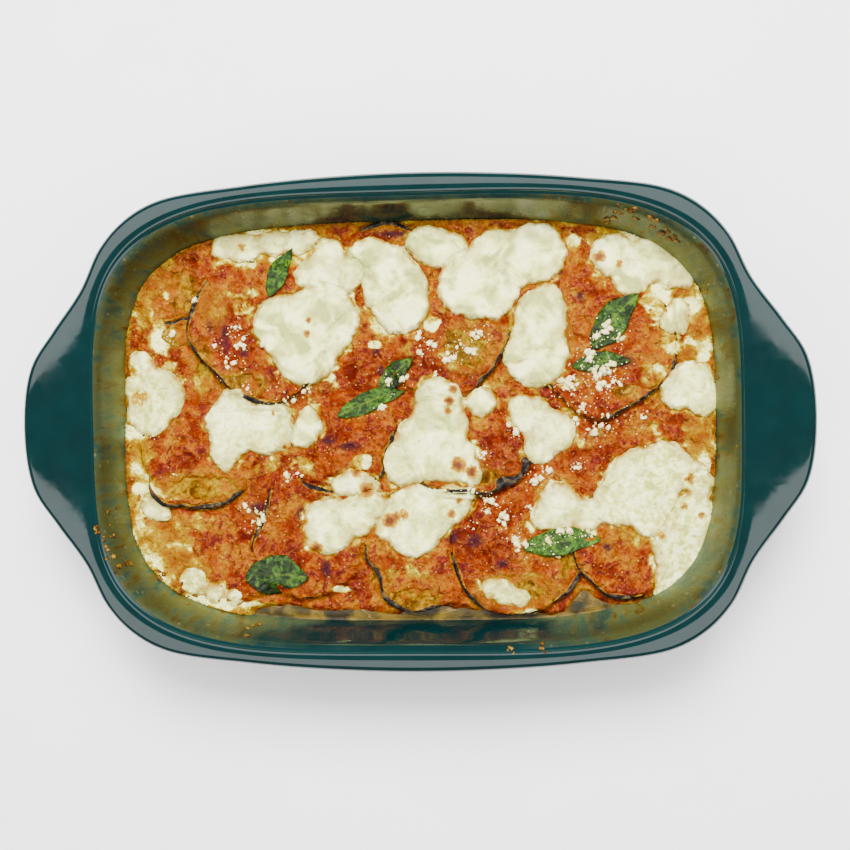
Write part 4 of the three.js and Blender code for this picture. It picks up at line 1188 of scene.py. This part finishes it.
def covered_by_later(name, x, y):
    """1 where a later slice lies over this one."""
    covered = np.zeros_like(x)
    for later in later_pieces(SLICES, name):
        covered = np.maximum(covered, smooth_step(-1, 0.5, slice_inset(later, x, y)))
    return covered


def sauce_lumps(x, y):
    return 1.1 * ripple(x, y, 5.4, 4.1) + 0.4 * ripple(x, y, 2.3, 9.7)


def sauce_height(x, y):
    """Top of the sauce: lumpy, low under cheese and on bare slices, and climbing at the wall."""
    depth = SAUCE["depth"] + 0.5 * ripple(x, y, 9, 1.3) + sauce_lumps(x, y)
    cheese = any_cheese_inset(x, y)
    under_cheese = smooth_step(-2.5, 2.5, cheese)
    depth = depth * (1 - under_cheese) - 0.6 * under_cheese
    covered = smoothed(bed_top, x, y, 1.6) + np.maximum(depth, -0.6)
    near_wall = np.exp(-np.maximum(wall_distance(x, y), 0) / 3.0)
    not_oily = 1 - smooth_step(-2, 4, oil_inset(x, y))
    covered = covered + 2.6 * near_wall * not_oily * (1 - smooth_step(-1, 2, cheese))
    bed = bed_top(x, y)
    bare = bare_share(x, y)
    height = covered * (1 - bare) + np.minimum(covered, bed - 1.2) * bare
    skin = skin_share(x, y)
    return height - skin * np.maximum(height - bed + 0.5, 0)


def make_sauce(material):
    half_length, half_width = cavity_half_sizes(DISH["food_level"] - 2)
    cell = SAUCE["cell"]
    bm = bmesh.new()
    bmesh.ops.create_grid(
        bm, x_segments=round(2 * half_length / cell), y_segments=round(2 * half_width / cell), size=1,
    )
    power = DISH["corner_power"]
    for vert in bm.verts:
        u, v = abs(vert.co.x), abs(vert.co.y)
        share = max(u, v) / max((u**power + v**power) ** (1 / power), 1e-9)
        vert.co.x *= share * (half_length - 0.3) * MM
        vert.co.y *= share * (half_width - 0.3) * MM
    set_heights(bm, sauce_height)
    close_below(bm, lambda x, y: 0 * x + SAUCE["underside"])
    piece = place(bm, "sauce_bed", material, ["filling"])
    x, y = mesh_plan(piece)
    cheese = any_cheese_inset(x, y)
    halo = smooth_step(-4.5, -0.5, cheese) * (0.75 + 0.5 * ripple(x, y, 8, 6.6))
    shares = {name: blobs(x, y, places, 0.8) for name, places in SAUCE_PLACES.items()}
    shares["veil"] = np.maximum(halo, 0.85 * shares["veil"])
    at_wall = 0.6 * smooth_step(4, 1, wall_distance(x, y)) * (1 - shares["cream"])
    shares["gold"] = np.maximum(shares["gold"], at_wall)
    shares["gold"] = np.maximum(shares["gold"], 0.85 * blobs(x, y, BARE, 1.0))
    shares["crust"] = smooth_step(2.2, 0.3, wall_distance(x, y))
    # Where the sauce lies low between its lumps; the material paints it darker there, partly as oil and
    # partly as painted shade
    shares["hollow"] = smooth_step(0.1, 0.7, -sauce_lumps(x, y))
    for name, share in shares.items():
        mark(piece, name, np.clip(share, 0, 1))
    return piece


def make_slice(name, piece, material):
    """A slice with a lip of skin, cut back where later slices lie over it."""
    def inset(x, y):
        own = slice_inset(piece, x, y)
        for upper in later_pieces(SLICES, name):
            own = np.minimum(own, -slice_inset(upper, x, y) - SLICE["gap"])
        return np.minimum(own, wall_distance(x, y) - 0.6)

    def top(x, y):
        own = np.maximum(slice_inset(piece, x, y), 0)
        width = skin_width(piece, x, y)
        wide = smooth_step(2.5, 3.5, width)
        lip = SLICE["lip"] * np.exp(-((own / 2.2) ** 2)) * (width > 0.2) * (1 - wide)
        shoulder = 1.3 * (1 - smooth_step(0, 1.1, own)) * (1 - wide)
        bevel = wide * 0.5 * np.clip(1 - own / np.maximum(width, 0.5), 0, 1) ** 1.6
        uneven = 0.35 * ripple(x, y, 6, 3.3) + 0.2 * ripple(x, y, 2.4, 7.9)
        return slice_plane(piece, x, y) + lip - shoulder - bevel + uneven * smooth_step(0.5, 3, own)

    cx, cy = piece["at"]
    reach = max(piece["size"]) + 8
    bm = trimmed_grid(inset, (cx - reach, cy - reach, cx + reach, cy + reach), SLICE["cell"])
    set_heights(bm, top)
    close_below(bm, lambda x, y: 0 * x + SLICE["underside"])
    made = place(bm, name, material, [name])
    made.name = name + "_fried"
    x, y = mesh_plan(made)
    own = slice_inset(piece, x, y)
    width = np.maximum(skin_width(piece, x, y), 0.7)
    mark(made, "skin", np.clip(1.0 - (own - width) / 0.8, 0, 1))
    mark(made, "tone", np.clip(piece["tone"] + 0.25 * ripple(x, y, 14, 4.4), 0, 1))
    return made


def make_cheese(name, material):
    """One melt of cheese, with the values that colour it."""
    pools = CHEESES[name]

    def inset(x, y):
        return cheese_inset(name, x, y, cheese_wobble(x, y))

    x0, y0 = (min(pool[i] - pool[2] for pool in pools) - 5 for i in (0, 1))
    x1, y1 = (max(pool[i] + pool[2] for pool in pools) + 5 for i in (0, 1))
    thickness = THIN.get(name, 1.0)
    bm = trimmed_grid(inset, (x0, y0, x1, y1), CHEESE["cell"])
    set_heights(bm, lambda x, y: cheese_top(x, y, inset(x, y), thickness))
    close_below(bm, lambda x, y: smoothed(bed_top, x, y, CHEESE["reach"]) - 1.6)
    made = place(bm, name, material, [name])
    made.name = name + "_melted"
    x, y = mesh_plan(made)
    mark(made, "inset", np.maximum(any_cheese_inset(x, y), 0))
    toast = np.zeros_like(x)
    for spot_x, spot_y, radius, strength in TOASTED:
        away = np.hypot(x - spot_x, y - spot_y) / radius
        toast = np.maximum(toast, strength * np.exp(-((away / 0.9) ** 2)))
    mark(made, "toast", toast)
    # The pits are painted darker as painted shade
    mark(made, "pit", pit_depth(x, y))
    # Painted shade in the folds, plus a lower tone where the cheese is thin and at random
    mark(made, "hollow", fold_depth(x, y) + 0.8 * ripple(x, y, 16, 12.5) + 1.0 - thickness)
    mark(made, "grain", np.full_like(x, CURDY.get(name, 0.1)))
    return made


def make_leaf(name, leaf, material):
    """A leaf draped over the food, with a rib, blisters and a frilled edge."""
    (at_x, at_y), (length, width), direction, curl, bend, bright = leaf
    turn = math.radians(direction)
    bm = bmesh.new()
    bmesh.ops.create_grid(bm, x_segments=int(length * 1.6), y_segments=18, size=0.5)
    verts = list(bm.verts)
    u = np.array([v.co.x + 0.5 for v in verts])
    v = np.array([2 * vert.co.y for vert in verts])
    half = width / 2 * (0.06 + 0.94 * np.sin(math.pi * u**0.85) ** 0.8)
    frill = 1 + 0.08 * np.sin(9 * u + 2 * v) + 0.03 * np.sin(23 * u + 5 * v)
    along = (u - 0.5) * length
    beside = v * half * frill + 0.06 * length * np.sin(2.6 * u)
    x = at_x + along * math.cos(turn) - beside * math.sin(turn)
    y = at_y + along * math.sin(turn) + beside * math.cos(turn)
    rib = np.exp(-((v / 0.07) ** 2))
    side_phase = (u * 7 + np.abs(v) * 1.6) % 1
    blister = 0.45 * np.abs(np.sin(math.pi * side_phase)) * np.sin(math.pi * np.abs(v)) ** 0.5
    curled = curl * v**2 * np.sin(math.pi * u) * np.sin(7 * u + at_y + v)
    wave = bend * np.sin(5.5 * u + at_x)
    z = smoothed(food_top, x, y, 4) + 1.3 + 0.4 * wave + 0.6 * curled + blister - 0.25 * rib
    z = z + 0.5 * ripple(x, y, 4, 2.7) + 0.25 * ripple(x, y, 1.8, 6.2)
    for vert, place_x, place_y, place_z in zip(verts, x, y, z):
        vert.co = Vector((place_x, place_y, place_z)) * MM
    bmesh.ops.recalc_face_normals(bm, faces=bm.faces)
    bmesh.ops.solidify(bm, geom=bm.faces, thickness=0.4 * MM)
    bmesh.ops.recalc_face_normals(bm, faces=bm.faces)
    made = place(bm, name, material, [name])
    made.name = name + "_wilted"
    x, y = mesh_plan(made)
    dx, dy = x - at_x, y - at_y
    along = (dx * math.cos(turn) + dy * math.sin(turn)) / length + 0.5
    beside = -dx * math.sin(turn) + dy * math.cos(turn) - 0.06 * length * np.sin(2.6 * along)
    mark(made, "vein", np.exp(-((beside / 0.5) ** 2)))
    mark(made, "fresh", np.clip(bright + 0.5 * ripple(x, y, 9, 5.5) + 0.25 * (along - 0.5), 0, 1))
    return made


def make_oil(material):
    def inset(x, y):
        return np.minimum(oil_inset(x, y) + 3, wall_distance(x, y) + 0.6)

    def top(x, y):
        climb = 0.9 * np.exp(-np.maximum(wall_distance(x, y), 0) / 1.5)
        return OIL["level"] + climb + 0.12 * ripple(x, y * 3, 14, 2.0)

    bm = trimmed_grid(inset, OIL["box"], OIL["cell"])
    set_heights(bm, top)
    close_below(bm, lambda x, y: 0 * x + OIL["underside"])
    return place(bm, "oil_surface", material, ["oil_pool"])


def surface_point(x, y):
    """The highest point of the dressed food or the wall at a place, in metres, and its normal."""
    depsgraph = bpy.context.evaluated_depsgraph_get()
    above = Vector((x * MM, y * MM, OVERHEAD * MM))
    _, point, normal, *_ = bpy.context.scene.ray_cast(depsgraph, above, Vector((0, 0, -1)))
    return point, normal


def add_bit(bm, x, y, radius, rng, flatten, detail):
    """Adds one uneven bit of food, partly sunk where it has dropped."""
    point, normal = surface_point(x, y)
    bit = bmesh.new()
    made = bmesh.ops.create_icosphere(bit, subdivisions=detail, radius=radius * MM)["verts"]
    stretch = (rng.uniform(0.8, 1.5), rng.uniform(0.7, 1.1), rng.uniform(0.6, 0.9) * flatten)
    offset = rng.uniform(0, 50)
    for vert in made:
        direction = vert.co.normalized()
        uneven = 1 + 0.8 * noise.noise(direction * 2.3 + Vector((offset, 0, 0)))
        vert.co = Vector(a * b for a, b in zip(vert.co * uneven, stretch))
    turn = Matrix.Rotation(rng.uniform(0, 2 * math.pi), 4, "Z")
    lean = Vector((0, 0, 1)).rotation_difference(normal).to_matrix().to_4x4()
    lift = Matrix.Translation(point + normal * radius * MM * 0.35 * flatten)
    bit.transform(lift @ lean @ turn)
    bit_mesh = bpy.data.meshes.new("bit")
    bit.to_mesh(bit_mesh)
    bm.from_mesh(bit_mesh)
    bit.free()
    bpy.data.meshes.remove(bit_mesh)


def make_crumbs(material):
    rng = random.Random(CRUMB["seed"])
    places = []

    def near(x, y, reach):
        angle, far = rng.uniform(0, 2 * math.pi), reach * math.sqrt(rng.random())
        return x + far * math.cos(angle), y + far * math.sin(angle)

    for x, y, count, reach in CRUMBS:
        for _ in range(count):
            places.append((*near(x, y, reach), CRUMB["least"] + CRUMB["more"] * rng.random() ** 1.8, 2))
        for _ in range(2 * count + 2):
            places.append((*near(x, y, CRUMB["fine_reach"] * reach), rng.uniform(*CRUMB["fine"]), 1))
    bm = bmesh.new()
    for x, y, radius, detail in places:
        add_bit(bm, x, y, radius, rng, 1.0, detail)
    return place(bm, "grated_cheese", material)


def make_flakes(material):
    rng = random.Random(CHIP["seed"])
    apart = CHIP["apart"]
    bm = bmesh.new()
    for x, y, radius in FLAKES:
        for _ in range(CHIP["parts"]):
            dx, dy = rng.uniform(-apart, apart) * radius, rng.uniform(-apart, apart) * radius
            add_bit(bm, x + dx, y + dy, radius * rng.uniform(*CHIP["part"]), rng, CHIP["flatness"], 2)
    return place(bm, "baked_flakes", material)


def set_camera():
    data = bpy.data.cameras.new("camera")
    data.lens = CAMERA["lens"]
    data.sensor_width = CAMERA["sensor"]
    data.clip_start, data.clip_end = CAMERA["clip"]
    camera = bpy.data.objects.new("camera", data)
    camera.location = CAMERA["place"]
    camera.rotation_euler = CAMERA["turn"]
    bpy.context.scene.collection.objects.link(camera)
    bpy.context.scene.camera = camera


def light_scene():
    for name, (at, aim, size, power) in LIGHTS.items():
        data = bpy.data.lights.new(name, "AREA")
        data.shape = "RECTANGLE"
        data.size, data.size_y = size
        data.energy = power
        light = bpy.data.objects.new(name, data)
        light.location = at
        light.rotation_euler = (Vector(aim) - Vector(at)).to_track_quat("-Z", "Y").to_euler()
        light.visible_glossy = name != "overhead_fill"
        bpy.context.scene.collection.objects.link(light)
    world = bpy.data.worlds.new("studio")
    world.use_nodes = True
    background = world.node_tree.nodes["Background"]
    background.inputs["Color"].default_value = (1, 1, 1, 1)
    background.inputs["Strength"].default_value = STUDIO_LIGHT
    bpy.context.scene.world = world


def make_floor():
    bm = bmesh.new()
    bmesh.ops.create_grid(bm, x_segments=1, y_segments=1, size=3)
    mesh = bpy.data.meshes.new("floor")
    bm.to_mesh(mesh)
    bm.free()
    mesh.materials.append(make_floor_material())
    floor = bpy.data.objects.new("floor", mesh)
    bpy.context.scene.collection.objects.link(floor)


set_camera()
light_scene()
make_floor()
make_dish()
make_sauce(make_sauce_material())
eggplant = make_eggplant_material()
for slice_name, slice_piece in SLICES.items():
    make_slice(slice_name, slice_piece, eggplant)
mozzarella = make_mozzarella_material()
for cheese_name in CHEESES:
    make_cheese(cheese_name, mozzarella)
make_oil(make_oil_material())
basil = make_basil_material()
for leaf_name, leaf_row in LEAVES.items():
    make_leaf(leaf_name, leaf_row, basil)
make_crumbs(make_crumb_material())
make_flakes(make_flake_material())
